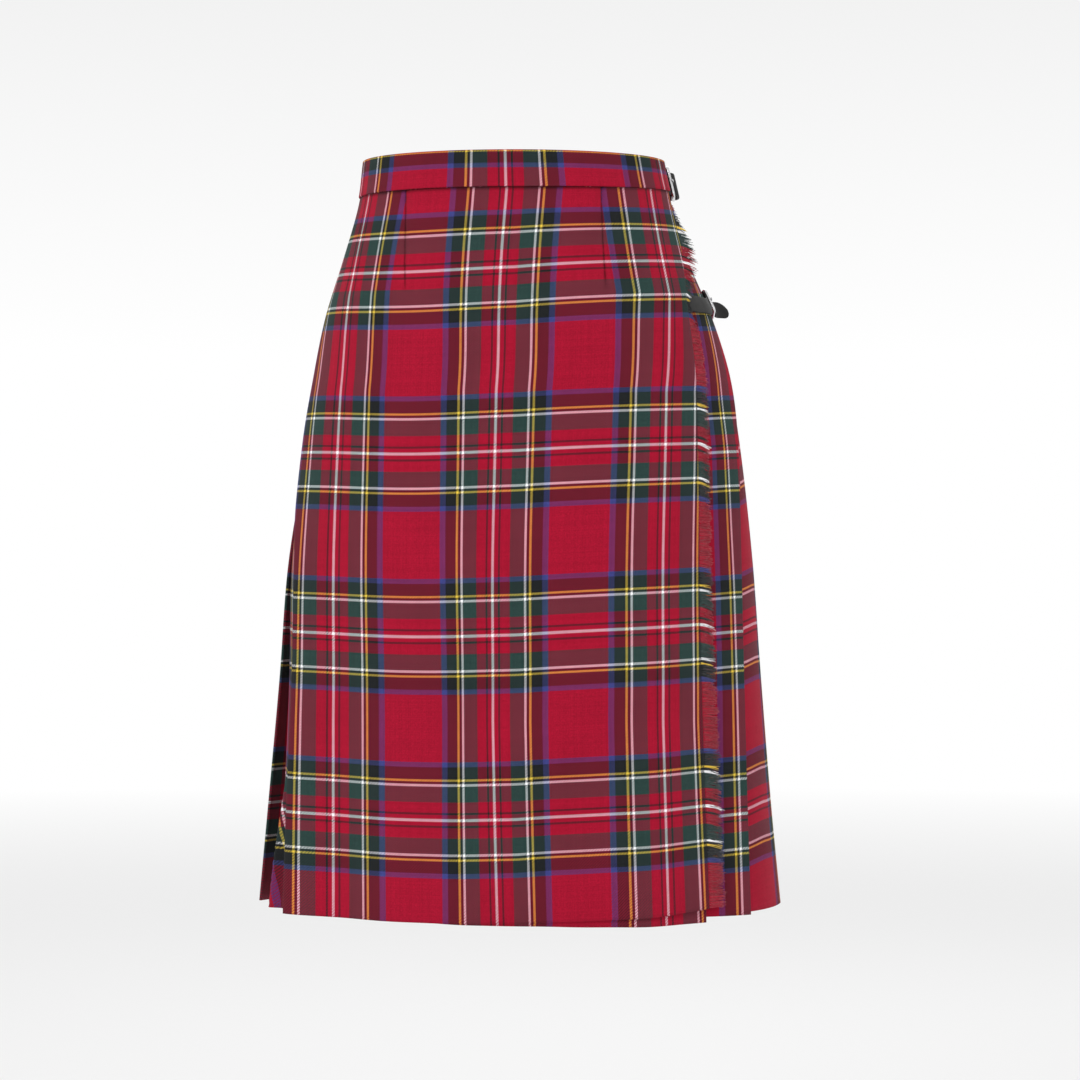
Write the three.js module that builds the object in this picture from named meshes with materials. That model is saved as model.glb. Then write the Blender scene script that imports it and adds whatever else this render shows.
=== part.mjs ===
// A tartan wrap skirt of the kilted kind, in millimetres, held open as it is worn.
//
// +X is the wearer's left, +Y the wearer's back and +Z up. The origin is the middle of the
// waist opening, level with the top edge of the waistband.
//
// Every cloth piece is a thin wall that follows the same body rings. A place on the skirt is
// given by its arc, its height and its lift. The arc is the way round the ring from the middle
// of the front, growing towards the wearer's left, on round the back. The lift is how far a
// layer stands out from the ring that touches the wearer.

import * as THREE from 'three';

// ------------------------------------------------------------------ driving sizes

const CLOTH = 1.1;
const BAND_CLOTH = 2.4;
const SEAM_GAP = 0.3;
const BAND_HEIGHT = 31;
const HEM = -631;
const UNDER_HEM = -634.5;

// The wearer-side ring of the skirt, from the waist down. The hips stand a little to the left.
const RINGS = [
  { z: 0, middle: 0, halfWidth: 121.6, front: 84, back: 90, power: 2.0 },
  { z: -36, middle: 1, halfWidth: 127, front: 89, back: 97, power: 2.0 },
  { z: -83, middle: 2, halfWidth: 141.2, front: 99, back: 110, power: 2.05 },
  { z: -134, middle: 4.5, halfWidth: 159.3, front: 108, back: 121, power: 2.05 },
  { z: -185, middle: 7.5, halfWidth: 172.7, front: 116, back: 129, power: 2.1 },
  { z: -237, middle: 7, halfWidth: 182, front: 121, back: 134, power: 2.1 },
  { z: -339, middle: 5, halfWidth: 193, front: 128, back: 141, power: 2.1 },
  { z: -441, middle: 5.5, halfWidth: 197.1, front: 135, back: 147, power: 2.15 },
  { z: -544, middle: 5.5, halfWidth: 202.8, front: 141, back: 152, power: 2.2 },
  { z: -640, middle: 6, halfWidth: 209.7, front: 146, back: 157, power: 2.2 },
];

// Arcs that change with height: where the over-apron folds under at the wearer's right hip,
// where it ends at the left, where the first knife pleat folds at the left hip, how deep a
// pleat runs under the one before it, how far a fold stands out, and the lift at which each
// pleat starts.
const PLEAT_LINES = [
  { z: 0, apronFold: -181, freeEdge: 152, firstFold: 181, underlay: 27, stand: 5.9, start: 0.3 },
  { z: -60, apronFold: -197, freeEdge: 158.8, firstFold: 189, underlay: 31, stand: 6, start: 0.2 },
  { z: -120, apronFold: -212, freeEdge: 150.8, firstFold: 202, underlay: 35, stand: 6.5, start: -0.1 },
  { z: -200, apronFold: -219, freeEdge: 149.8, firstFold: 210, underlay: 38, stand: 7.1, start: -0.3 },
  { z: -320, apronFold: -219, freeEdge: 152.3, firstFold: 205.5, underlay: 35, stand: 9, start: -1.2 },
  { z: -450, apronFold: -219, freeEdge: 153.6, firstFold: 202.8, underlay: 31, stand: 12.5, start: -2.8 },
  { z: -640, apronFold: -219, freeEdge: 159, firstFold: 200.6, underlay: 26, stand: 17, start: -4.8 },
];

// How far each pleat's fold wanders at the hem, round the ring and outwards.
const PLEAT_DRIFT = [
  { along: 0, out: 0 },
  { along: 3, out: 1.5 },
  { along: -2, out: -2 },
  { along: 2.5, out: 1 },
  { along: -3, out: 2 },
  { along: 1, out: -1.5 },
  { along: 3.5, out: 0.5 },
  { along: -2.5, out: -1 },
  { along: 1, out: 2 },
];

// Long soft folds that the front hangs in, deepest at the hem.
const SOFT_FOLDS = [
  { arc: -150, out: -8, spread: 34 },
  { arc: -48, out: 4, spread: 20 },
  { arc: 22, out: -5, spread: 26 },
  { arc: 104, out: 7, spread: 24 },
];
const SOFT_FOLD_TOP = -130;

// The over-apron: its free edge at the hem, how far it is pulled up towards that edge, and how
// its fold stands out towards the hem.
const FREE_EDGE = 159;
const APRON_PULL_UP = 8;
const SEAM_PULL_UP = 5;
const APRON_FOLD_FLARE = 6;
const FLARE_SPREAD = 22;
const FLARE_TOP = -200;
const APRON_RETURN = 34;
const RETURN_TUCK = 3;
const DARTS = [{ arc: -97 }, { arc: 72 }];
const DART_END = -118;
const DART_DEPTH = 1.2;
const DART_HALF_WIDTH = 5;
const LIFT_OVER_LEFT = 3.9;
const LIFT_OVER_RIGHT = 8.1;

// The under-apron: its free end, the fold at the wearer's left hip, and what turns under.
const UNDER_END = -150;
const UNDER_FOLD = 158.5;
const UNDER_RETURN = 28;
const RETURN_STEP = 9;
const RETURN_ABOVE_PLEAT = 2.4;
const LIFT_UNDER_END = 1.6;
const LIFT_UNDER_FOLD = 4;
const LAYER_STEP = 1.5;

// The fringe along the free edge. It is flattened beside the hip strap, and curls outwards
// just above it.
const FRINGE_STRANDS = 176;
const FRINGE_TOP = -38;
const FRINGE_STRIP = 1.8;
const FRINGE_LENGTHS = [
  { z: -36, length: 2 },
  { z: -56, length: 9 },
  { z: -75, length: 11 },
  { z: -96, length: 10 },
  { z: -112, length: 3 },
  { z: -130, length: 3 },
  { z: -150, length: 10 },
  { z: -250, length: 10.5 },
  { z: -400, length: 12 },
  { z: -480, length: 14.5 },
  { z: -640, length: 14.5 },
];
const FRINGE_CURL = 9;
const FRINGE_CURL_HEIGHT = -75;
const FRINGE_CURL_SPREAD = 28;

// Heights of the two fastenings.
const WAIST_STRAP_HEIGHT = -19.5;
const HIP_STRAP_HEIGHT = -124;

// Leather and metal.
const STRAP_LEATHER = 1.8;
const TAB_LEATHER = 1.4;
const BAR = 1.4;
const FRAME_LENGTH = 16;
const PRONG_WIDTH = 2.2;

const RED = 0xa51a34;
const DARK_RED = 0x7d2433;
const BLACK_LEATHER = 0x151413;
const NICKEL = 0xb9bcc0;

// ------------------------------------------------------------------ small maths

const clamp = (value, low, high) => Math.min(high, Math.max(low, value));
const mix = (a, b, share) => a + (b - a) * share;

function smoothStep(from, to, value) {
  const share = clamp((value - from) / (to - from), 0, 1);
  return share * share * (3 - 2 * share);
}

const bump = (distance, spread) => Math.exp(-((distance / spread) ** 2));

// Reads one column of a table of heights, smoothly between its rows.
function column(table, name, z) {
  const height = clamp(z, table[table.length - 1].z, table[0].z);
  let row = 0;
  while (row < table.length - 2 && height < table[row + 1].z) row += 1;
  const slope = (at) => {
    const above = table[Math.max(at - 1, 0)];
    const below = table[Math.min(at + 1, table.length - 1)];
    return (below[name] - above[name]) / (below.z - above.z);
  };
  const span = table[row + 1].z - table[row].z;
  const t = (height - table[row].z) / span;
  const start = table[row][name];
  const end = table[row + 1][name];
  return (2 * t ** 3 - 3 * t ** 2 + 1) * start + (t ** 3 - 2 * t ** 2 + t) * span * slope(row)
    + (3 * t ** 2 - 2 * t ** 3) * end + (t ** 3 - t ** 2) * span * slope(row + 1);
}

// ------------------------------------------------------------------ the body rings

const RING_STEPS = 360;
const ringStore = new Map();

function ringAt(z) {
  const key = z.toFixed(2);
  if (ringStore.has(key)) return ringStore.get(key);
  const middle = column(RINGS, 'middle', z);
  const halfWidth = column(RINGS, 'halfWidth', z);
  const front = column(RINGS, 'front', z);
  const back = column(RINGS, 'back', z);
  const bend = 2 / column(RINGS, 'power', z);
  const points = [];
  const lengths = [0];
  for (let step = 0; step <= RING_STEPS; step += 1) {
    const angle = (step / RING_STEPS) * Math.PI * 2;
    const sine = Math.sin(angle);
    const cosine = Math.cos(angle);
    const depth = cosine > 0 ? front : back;
    const x = middle + halfWidth * Math.sign(sine) * Math.abs(sine) ** bend;
    const y = -depth * Math.sign(cosine) * Math.abs(cosine) ** bend;
    points.push([x, y]);
    if (step > 0) {
      const [px, py] = points[step - 1];
      lengths.push(lengths[step - 1] + Math.hypot(x - px, y - py));
    }
  }
  const ring = { points, lengths, around: lengths[RING_STEPS] };
  ringStore.set(key, ring);
  return ring;
}

function ringNormal(ring, index) {
  const before = ring.points[(index - 1 + RING_STEPS) % RING_STEPS];
  const after = ring.points[(index + 1) % RING_STEPS];
  const dx = after[0] - before[0];
  const dy = after[1] - before[1];
  const size = Math.hypot(dx, dy);
  return [dy / size, -dx / size];
}

// The place at an arc and a height, lifted off the ring.
function place(arc, z, lift) {
  const ring = ringAt(z);
  const along = ((arc % ring.around) + ring.around) % ring.around;
  let low = 0;
  let high = RING_STEPS;
  while (high - low > 1) {
    const middle = (low + high) >> 1;
    if (ring.lengths[middle] <= along) low = middle;
    else high = middle;
  }
  const share = (along - ring.lengths[low]) / (ring.lengths[high] - ring.lengths[low]);
  const [ax, ay] = ring.points[low];
  const [bx, by] = ring.points[high % RING_STEPS];
  const na = ringNormal(ring, low);
  const nb = ringNormal(ring, high % RING_STEPS);
  return [
    mix(ax, bx, share) + lift * mix(na[0], nb[0], share),
    mix(ay, by, share) + lift * mix(na[1], nb[1], share),
    z,
  ];
}

// ------------------------------------------------------------------ walls

// A wall of even thickness over a grid of middle points. Rows run down and columns run round.
// A window is a cell that is left open, named by its row and column.
function wallGeometry(rows, thickness, windows = []) {
  const rowCount = rows.length;
  const columnCount = rows[0].length;
  const vertices = [];
  const faces = [];
  const sides = [thickness / 2, -thickness / 2];
  for (const side of sides) {
    for (const row of rows) {
      row.forEach((point, index) => {
        const [nx, ny] = turnNormal(row, index);
        vertices.push(point[0] + nx * side, point[1] + ny * side, point[2]);
      });
    }
  }
  const vertex = (side, row, col) => (side * rowCount + row) * columnCount + col;
  const open = (row, col) => row < 0 || col < 0 || row >= rowCount - 1 || col >= columnCount - 1
    || windows.some((window) => window.row === row && window.column === col);
  const quad = (a, b, c, d) => faces.push(a, b, c, a, c, d);
  for (let row = 0; row < rowCount - 1; row += 1) {
    for (let col = 0; col < columnCount - 1; col += 1) {
      if (open(row, col)) continue;
      const [outA, outB] = [vertex(0, row, col), vertex(0, row, col + 1)];
      const [outC, outD] = [vertex(0, row + 1, col + 1), vertex(0, row + 1, col)];
      const [inA, inB] = [vertex(1, row, col), vertex(1, row, col + 1)];
      const [inC, inD] = [vertex(1, row + 1, col + 1), vertex(1, row + 1, col)];
      quad(outA, outD, outC, outB);
      quad(inA, inB, inC, inD);
      if (open(row - 1, col)) quad(outA, outB, inB, inA);
      if (open(row + 1, col)) quad(outC, outD, inD, inC);
      if (open(row, col - 1)) quad(outD, outA, inA, inD);
      if (open(row, col + 1)) quad(outB, outC, inC, inB);
    }
  }
  return meshGeometry(vertices, faces);
}

// The outward direction at a point of a row, stretched at a bend so the wall keeps its width.
function turnNormal(row, index) {
  const before = row[Math.max(index - 1, 0)];
  const here = row[index];
  const after = row[Math.min(index + 1, row.length - 1)];
  const first = unit(here[0] - before[0], here[1] - before[1]);
  const second = unit(after[0] - here[0], after[1] - here[1]);
  const a = index === 0 ? second : first;
  const b = index === row.length - 1 ? first : second;
  const sum = unit(a[1] + b[1], -a[0] - b[0]);
  const reach = 1 / Math.max(sum[0] * a[1] - sum[1] * a[0], 0.62);
  return [sum[0] * reach, sum[1] * reach];
}

function unit(x, y) {
  const size = Math.hypot(x, y) || 1;
  return [x / size, y / size];
}

function meshGeometry(vertices, faces) {
  const geometry = new THREE.BufferGeometry();
  geometry.setAttribute('position', new THREE.Float32BufferAttribute(vertices, 3));
  geometry.setIndex(faces);
  geometry.computeVertexNormals();
  return geometry;
}

const skirt = new THREE.Group();

function addPiece(name, geometry, color, roughness, metalness = 0) {
  const material = new THREE.MeshStandardMaterial({ color, roughness, metalness });
  const mesh = new THREE.Mesh(geometry, material);
  mesh.name = name;
  skirt.add(mesh);
  return mesh;
}

// ------------------------------------------------------------------ how the cloth lies

function softFold(arc, z) {
  const growth = smoothStep(SOFT_FOLD_TOP, HEM, z);
  return growth * SOFT_FOLDS.reduce((sum, fold) => sum + fold.out * bump(arc - fold.arc, fold.spread), 0);
}

const apronFoldAt = (z) => column(PLEAT_LINES, 'apronFold', z);
const freeEdgeAt = (z) => column(PLEAT_LINES, 'freeEdge', z);

// Within the fixed front an arc is the same at every height. Beyond it the arcs follow the
// fold on one side and the free edge on the other, as they come forward higher up.
const FIXED_FRONT = 115;
function apronArc(hemArc, z) {
  const beyond = Math.abs(hemArc) - FIXED_FRONT;
  if (beyond <= 0) return hemArc;
  if (hemArc < 0) {
    return -FIXED_FRONT - (beyond * (apronFoldAt(z) + FIXED_FRONT)) / (apronFoldAt(HEM) + FIXED_FRONT);
  }
  return FIXED_FRONT + (beyond * (freeEdgeAt(z) - FIXED_FRONT)) / (FREE_EDGE - FIXED_FRONT);
}

const pullUp = (arc) => clamp(arc / FREE_EDGE, 0, 1) ** 1.6;

function overLift(arc, z) {
  const base = mix(LIFT_OVER_LEFT, LIFT_OVER_RIGHT, smoothStep(20, 128, arc));
  const dartFade = smoothStep(DART_END, DART_END + 60, z);
  const darts = DARTS.reduce((sum, dart) => sum + bump(arc - dart.arc, DART_HALF_WIDTH), 0);
  const flareGrowth = APRON_FOLD_FLARE * smoothStep(FLARE_TOP, HEM, z);
  const flare = flareGrowth * bump(arc - apronFoldAt(z), FLARE_SPREAD);
  return base + softFold(arc, z) + flare - DART_DEPTH * dartFade * darts;
}

const ROW_HEIGHTS = [-60, -92, -134, -185, -237, -310, -400, -510];

// Heights down one column, from its own top edge to its own hem.
function columnHeights(top, hem) {
  const plainTop = -BAND_HEIGHT - SEAM_GAP;
  return [plainTop, ...ROW_HEIGHTS, HEM].map((z) => {
    const share = (z - plainTop) / (HEM - plainTop);
    return mix(top, hem, share);
  });
}

// Builds rows from columns that each give an arc, a lift and their own edges.
function clothRows(columns) {
  const columnPoints = columns.map(({ arcAt, liftAt, top, hem }) => (
    columnHeights(top, hem).map((z) => {
      const arc = arcAt(z);
      return place(arc, z, liftAt(arc, z));
    })
  ));
  return columnPoints[0].map((_, row) => columnPoints.map((points) => points[row]));
}

// ------------------------------------------------------------------ over-apron

const COLUMN_STEP = 13;

function evenArcs(from, to, step) {
  const count = Math.ceil((to - from) / step);
  return Array.from({ length: count + 1 }, (_, index) => mix(from, to, index / count));
}

function overApronArcs() {
  const stops = [apronFoldAt(HEM) + 1];
  for (const dart of DARTS) stops.push(dart.arc - DART_HALF_WIDTH, dart.arc, dart.arc + DART_HALF_WIDTH);
  stops.push(FREE_EDGE);
  return stops.flatMap((stop, index) => (
    index === stops.length - 1 ? [stop] : evenArcs(stop, stops[index + 1], COLUMN_STEP).slice(0, -1)
  ));
}

const apronTop = (hemArc) => (
  -BAND_HEIGHT - SEAM_GAP + SEAM_PULL_UP * pullUp(apronArc(hemArc, -BAND_HEIGHT))
);
const apronHem = (hemArc) => HEM + APRON_PULL_UP * pullUp(hemArc);

function buildOverApron() {
  const foldHem = apronFoldAt(HEM);
  const tuck = (inward, z) => RETURN_TUCK * smoothStep(FLARE_TOP, HEM, z) * (inward / APRON_RETURN);
  const turned = [APRON_RETURN, APRON_RETURN / 2, 2].map((inward) => ({
    arcAt: (z) => apronFoldAt(z) + inward,
    liftAt: (arc, z) => overLift(arc, z) - LAYER_STEP - 0.1 - tuck(inward, z),
    top: apronTop(foldHem),
    hem: apronHem(foldHem) + 1,
  }));
  const foldTip = {
    arcAt: (z) => apronFoldAt(z),
    liftAt: (arc, z) => overLift(arc, z) - LAYER_STEP / 2,
    top: apronTop(foldHem),
    hem: apronHem(foldHem),
  };
  const face = overApronArcs().map((hemArc) => ({
    arcAt: (z) => apronArc(hemArc, z),
    liftAt: overLift,
    top: apronTop(hemArc),
    hem: apronHem(hemArc),
  }));
  addPiece('over_apron', wallGeometry(clothRows([...turned, foldTip, ...face]), CLOTH), RED, 0.9);
}

// ------------------------------------------------------------------ under-apron

function underLift(arc, z) {
  return mix(LIFT_UNDER_END, LIFT_UNDER_FOLD, smoothStep(20, 120, arc)) + softFold(arc, z);
}

function buildUnderApron() {
  const edges = { top: -BAND_HEIGHT - SEAM_GAP, hem: UNDER_HEM };
  const face = evenArcs(UNDER_END, UNDER_FOLD - 1, 1.5 * COLUMN_STEP).map((hemArc) => ({
    arcAt: () => hemArc,
    liftAt: underLift,
    ...edges,
  }));
  const foldTip = {
    arcAt: () => UNDER_FOLD,
    liftAt: (arc, z) => underLift(arc, z) - LAYER_STEP / 2,
    ...edges,
  };
  const turned = evenArcs(2, UNDER_RETURN, RETURN_STEP).map((inward) => ({
    arcAt: () => UNDER_FOLD - inward,
    liftAt: (arc, z) => mix(
      underLift(arc, z) - LAYER_STEP,
      column(PLEAT_LINES, 'start', z) + softFold(arc, z) + RETURN_ABOVE_PLEAT,
      inward / UNDER_RETURN,
    ),
    ...edges,
  }));
  addPiece('under_apron', wallGeometry(clothRows([...face, foldTip, ...turned]), CLOTH), DARK_RED, 0.9);
}

// ------------------------------------------------------------------ back pleats

// One column for each stop along the folded cloth, from the under-apron's seam to the seam
// with the over-apron. A pleat's face runs from its hidden start, under the fold before it,
// out to its own fold. Then the cloth turns back under and the next pleat starts.
function pleatStops() {
  const stops = [];
  const count = PLEAT_DRIFT.length;
  for (let pleat = 0; pleat <= count; pleat += 1) {
    for (const inward of [1, 0.5, 0]) stops.push({ pleat, part: 'hidden', inward });
    for (const share of [1 / 3, 2 / 3]) stops.push({ pleat, part: 'face', share });
    if (pleat === count) break;
    for (const inward of [1, 0.5, 0]) stops.push({ pleat, part: 'overlap', inward });
    stops.push({ pleat, part: 'tip' });
    for (const inward of [0, 0.5, 1]) stops.push({ pleat, part: 'return', inward });
    stops.push({ pleat, part: 'turn' });
  }
  stops.push({ pleat: count, part: 'end', inward: 0 }, { pleat: count, part: 'end', inward: 1 });
  return stops;
}

function foldArc(pleat, z) {
  const first = column(PLEAT_LINES, 'firstFold', z);
  const last = ringAt(z).around + apronFoldAt(z);
  const pitch = (last - first) / PLEAT_DRIFT.length;
  const drift = PLEAT_DRIFT[pleat] ? PLEAT_DRIFT[pleat].along : 0;
  return first + pitch * pleat + drift * smoothStep(-150, HEM, z);
}

// The first pleat starts low, inside the under-apron's turned edge, so the second one starts
// lower still.
const LOW_START = 3;
const startLift = (pleat, z) => column(PLEAT_LINES, 'start', z) - (pleat === 1 ? LOW_START : 0);

function pleatArcs(pleat, z) {
  const fold = foldArc(pleat, z);
  const underlay = column(PLEAT_LINES, 'underlay', z);
  const before = pleat === 0 ? UNDER_FOLD + 2 : foldArc(pleat - 1, z);
  const firstUnderlay = Math.min(underlay, foldArc(0, z) - UNDER_FOLD - 5);
  const hidden = [UNDER_RETURN + 2, firstUnderlay][pleat] ?? underlay;
  return { before, hidden, fold, underlay: pleat === 0 ? firstUnderlay : underlay };
}

function pleatLift(pleat, arc, z) {
  const { before, hidden, fold } = pleatArcs(pleat, z);
  const start = startLift(pleat, z);
  if (pleat === PLEAT_DRIFT.length) return start;
  const stand = column(PLEAT_LINES, 'stand', z) + PLEAT_DRIFT[pleat].out * smoothStep(-150, HEM, z);
  const riseFrom = pleat === 0 ? before : before - hidden;
  const top = column(PLEAT_LINES, 'start', z) + stand;
  return mix(start, top, clamp((arc - riseFrom) / (fold - riseFrom), 0, 1));
}

function pleatPoint(stop, z) {
  const { before, hidden, fold, underlay } = pleatArcs(stop.pleat, z);
  const start = column(PLEAT_LINES, 'start', z);
  const nextStart = startLift(stop.pleat + 1, z);
  const faceLift = (arc) => pleatLift(stop.pleat, arc, z);
  const at = (arc, lift) => place(arc, z, lift + softFold(arc, z));
  switch (stop.part) {
    case 'hidden': {
      const arc = before - hidden * stop.inward;
      return at(arc, faceLift(arc));
    }
    case 'face': {
      const arc = mix(before, fold - underlay, stop.share);
      return at(arc, faceLift(arc));
    }
    case 'overlap': {
      const arc = fold - underlay * stop.inward - (stop.inward === 0 ? 1 : 0);
      return at(arc, faceLift(arc));
    }
    case 'tip':
      return at(fold, faceLift(fold) - LAYER_STEP / 2);
    case 'return': {
      const arc = mix(fold - 1.2, fold - underlay + 1, stop.inward);
      return at(arc, mix(faceLift(fold) - LAYER_STEP, nextStart + LAYER_STEP + 0.1, stop.inward));
    }
    case 'turn':
      return at(fold - underlay - 0.4, nextStart + LAYER_STEP / 2 + 0.05);
    default: {
      const arc = fold - underlay + (underlay + APRON_RETURN) * (0.45 + 0.55 * stop.inward);
      return at(arc, start);
    }
  }
}

function buildBackPleats() {
  const stops = pleatStops();
  const heights = columnHeights(-BAND_HEIGHT - SEAM_GAP, HEM);
  const rows = heights.map((z) => stops.map((stop) => pleatPoint(stop, z)));
  addPiece('back_pleats', wallGeometry(rows, CLOTH), RED, 0.9);
}

// ------------------------------------------------------------------ waistband

// The band runs from the over-apron's free edge back across the front, round the wearer's
// right, the back and the left, and on under itself to the end of the under-apron.
const BAND_COURSE = [
  { arc: 152.5, lift: 7.7 },
  { arc: 128, lift: 7.5 },
  { arc: 60, lift: 6 },
  { arc: 0, lift: 5.2 },
  { arc: -100, lift: 5 },
  { arc: -180, lift: 4.2 },
  { arc: -260, lift: 3.6 },
  { arc: -420, lift: 3.4 },
  { arc: -520, lift: 2.6 },
  { arc: -600, lift: 2.2 },
  { arc: -820, lift: 2.2 },
];

function bandLift(arc) {
  const next = BAND_COURSE.findIndex((stop) => stop.arc <= arc);
  if (next <= 0) return BAND_COURSE[0].lift;
  const [a, b] = [BAND_COURSE[next - 1], BAND_COURSE[next]];
  return mix(a.lift, b.lift, (a.arc - arc) / (a.arc - b.arc));
}

// The skirt is wider at the band's lower edge, and the band's columns spread with it.
const spreadAt = (z) => ringAt(z).around / ringAt(0).around;

function buildWaistband() {
  const start = BAND_COURSE[0].arc;
  const end = BAND_COURSE[BAND_COURSE.length - 1].arc;
  const arcs = evenArcs(end, start, COLUMN_STEP);
  const levels = [0, 0.5, 1];
  const rows = levels.map((level) => arcs.map((arc) => {
    const low = -BAND_HEIGHT + SEAM_PULL_UP * pullUp(arc * spreadAt(-BAND_HEIGHT));
    const height = -BAND_HEIGHT * level;
    const [x, y] = place(arc * spreadAt(height), height, bandLift(arc));
    return [x, y, low * level];
  }));
  addPiece('waistband', wallGeometry(rows, BAND_CLOTH), RED, 0.9);
}

// ------------------------------------------------------------------ fringe

// A small even scatter in place of random numbers, between -1 and 1.
const scatter = (index, seed) => Math.sin(index * 12.9898 + seed * 4.1414) * Math.cos(index * 7.233 + seed);

// A place beyond the free edge, on the straight line between the two rows around it.
function placeBetweenRows(rowHeights, beyond, z, lift) {
  const height = clamp(z, rowHeights[rowHeights.length - 1], rowHeights[0]);
  const row = clamp(rowHeights.findIndex((low) => low <= height), 1, rowHeights.length - 1);
  const [high, low] = [rowHeights[row - 1], rowHeights[row]];
  const onRow = (level) => {
    const edge = freeEdgeAt(level);
    return place(edge + beyond, level, overLift(edge, level) + lift);
  };
  const upper = onRow(high);
  const lower = onRow(low);
  const share = (high - height) / (high - low);
  return [mix(upper[0], lower[0], share), mix(upper[1], lower[1], share), z];
}

function buildFringe() {
  const vertices = [];
  const faces = [];
  const quad = (a, b, c, d) => faces.push(a, b, c, a, c, d);
  const edgeHeights = [FRINGE_TOP, HEM + APRON_PULL_UP + 1];
  const rowHeights = columnHeights(apronTop(FREE_EDGE), apronHem(FREE_EDGE));
  const add = (beyond, z, lift) => {
    vertices.push(...placeBetweenRows(rowHeights, beyond, z, lift));
    return vertices.length / 3 - 1;
  };
  const lips = [];
  for (let index = 0; index <= FRINGE_STRANDS; index += 1) {
    const z = mix(...edgeHeights, index / FRINGE_STRANDS);
    lips.push([
      add(SEAM_GAP, z, CLOTH / 2),
      add(SEAM_GAP + FRINGE_STRIP, z, CLOTH / 2),
      add(SEAM_GAP + FRINGE_STRIP, z, -CLOTH / 2),
      add(SEAM_GAP, z, -CLOTH / 2),
    ]);
  }
  const pitch = (edgeHeights[0] - edgeHeights[1]) / FRINGE_STRANDS;
  lips.slice(0, -1).forEach((upper, index) => {
    const lower = lips[index + 1];
    const middle = mix(...edgeHeights, (index + 0.5) / FRINGE_STRANDS);
    const length = column(FRINGE_LENGTHS, 'length', middle) * (1 + 0.14 * scatter(index, 1));
    const curl = FRINGE_CURL * bump(middle - FRINGE_CURL_HEIGHT, FRINGE_CURL_SPREAD);
    const drop = Math.min(0.2 * length, 2.4) + 1.4 * Math.sin(middle / 23) + 0.35 * scatter(index, 2);
    const lift = 0.5 * scatter(index, 3) - 0.4 + curl + 0.8 * bump(middle - HIP_STRAP_HEIGHT, 16);
    const beyond = SEAM_GAP + FRINGE_STRIP + length;
    const half = pitch * 0.27;
    const tip = [
      add(beyond, middle - drop + half, lift + 0.4),
      add(beyond, middle - drop + half, lift - 0.4),
      add(beyond, middle - drop - half, lift - 0.4),
      add(beyond, middle - drop - half, lift + 0.4),
    ];
    const lip = [upper[1], upper[2], lower[2], lower[1]];
    for (let side = 0; side < 4; side += 1) {
      const next = (side + 1) % 4;
      quad(lip[side], tip[side], tip[next], lip[next]);
    }
    quad(tip[0], tip[3], tip[2], tip[1]);
    quad(upper[0], lower[0], lower[1], upper[1]);
    quad(upper[2], lower[2], lower[3], upper[3]);
    quad(upper[3], lower[3], lower[0], upper[0]);
  });
  const first = lips[0];
  const last = lips[lips.length - 1];
  quad(first[0], first[1], first[2], first[3]);
  quad(last[3], last[2], last[1], last[0]);
  addPiece('over_apron_fringe', meshGeometry(vertices, faces), RED, 0.95);
}

// ------------------------------------------------------------------ straps and buckles

// Each fastening has a strap sewn inside the over-apron's free edge. The strap goes under the
// buckle's outer bar and over its heel bar. A leather tab folds round the heel bar.
const FASTENINGS = [
  {
    name: 'waist',
    z: WAIST_STRAP_HEIGHT,
    width: 21,
    frameHeight: 28,
    heel: { arc: 180, lift: 12.4 },
    outer: { arc: 165, lift: 11 },
    lead: [
      { arc: 130, lift: 5.2 }, { arc: 144, lift: 5.2 }, { arc: 152, lift: 5.2 }, { arc: 158, lift: 5.4 },
    ],
    tail: [
      { arc: 189, lift: 18.6 }, { arc: 196, lift: 15.6 }, { arc: 203, lift: 13 }, { arc: 210, lift: 11.2 },
    ],
    tabArcs: [192, 199, 207],
    ground: (arc, z) => bandLift(arc - ringAt(z).around) + BAND_CLOTH / 2 + SEAM_GAP,
  },
  {
    name: 'hip',
    z: HIP_STRAP_HEIGHT,
    width: 16.8,
    frameHeight: 24,
    heel: { arc: 222, lift: 8 },
    outer: { arc: 206, lift: 11.2 },
    lead: [
      { arc: 128, lift: 5.85 }, { arc: 141, lift: 5.85 }, { arc: 157, lift: 5.85 }, { arc: 166, lift: 5.4 },
      { arc: 176, lift: 5.6 }, { arc: 186, lift: 6.9 }, { arc: 195, lift: 8.2 },
    ],
    tail: [
      { arc: 228, lift: 14.2 }, { arc: 231, lift: 18 }, { arc: 233, lift: 23.5 }, { arc: 234, lift: 29.5 },
    ],
    tabArcs: [231, 239, 248],
    ground: (arc, z) => pleatLift(1, arc, z) + CLOTH / 2,
  },
];

const TAB_NARROWER = 4;
const WRAP_INSIDE = BAR * 1.2 + SEAM_GAP;
const WRAP_MIDDLE = WRAP_INSIDE + TAB_LEATHER / 2;
const WRAP_OUTSIDE = WRAP_INSIDE + TAB_LEATHER;

// The buckle's own frame: its heel bar is the origin, its outer bar lies along +t, v runs up
// the slope of the cloth and n points outwards.
function buckleFrame({ heel, outer, z }) {
  const point = ({ arc, lift }, height) => new THREE.Vector3(...place(arc, height, lift));
  const origin = point(heel, z);
  const v = point(heel, z + 8).sub(point(heel, z - 8)).normalize();
  const t = point(outer, z).sub(origin);
  t.addScaledVector(v, -t.dot(v)).normalize();
  const n = new THREE.Vector3().crossVectors(v, t);
  const matrix = new THREE.Matrix4().makeBasis(t, n, v).setPosition(origin);
  const at = (along, out) => (height) => new THREE.Vector3(along, out, height).applyMatrix4(matrix).toArray();
  const onCloth = (arc, liftAt) => (height) => {
    const level = z + height * v.z;
    return place(arc, level, liftAt(arc, level));
  };
  return { at, onCloth, matrix };
}

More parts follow.
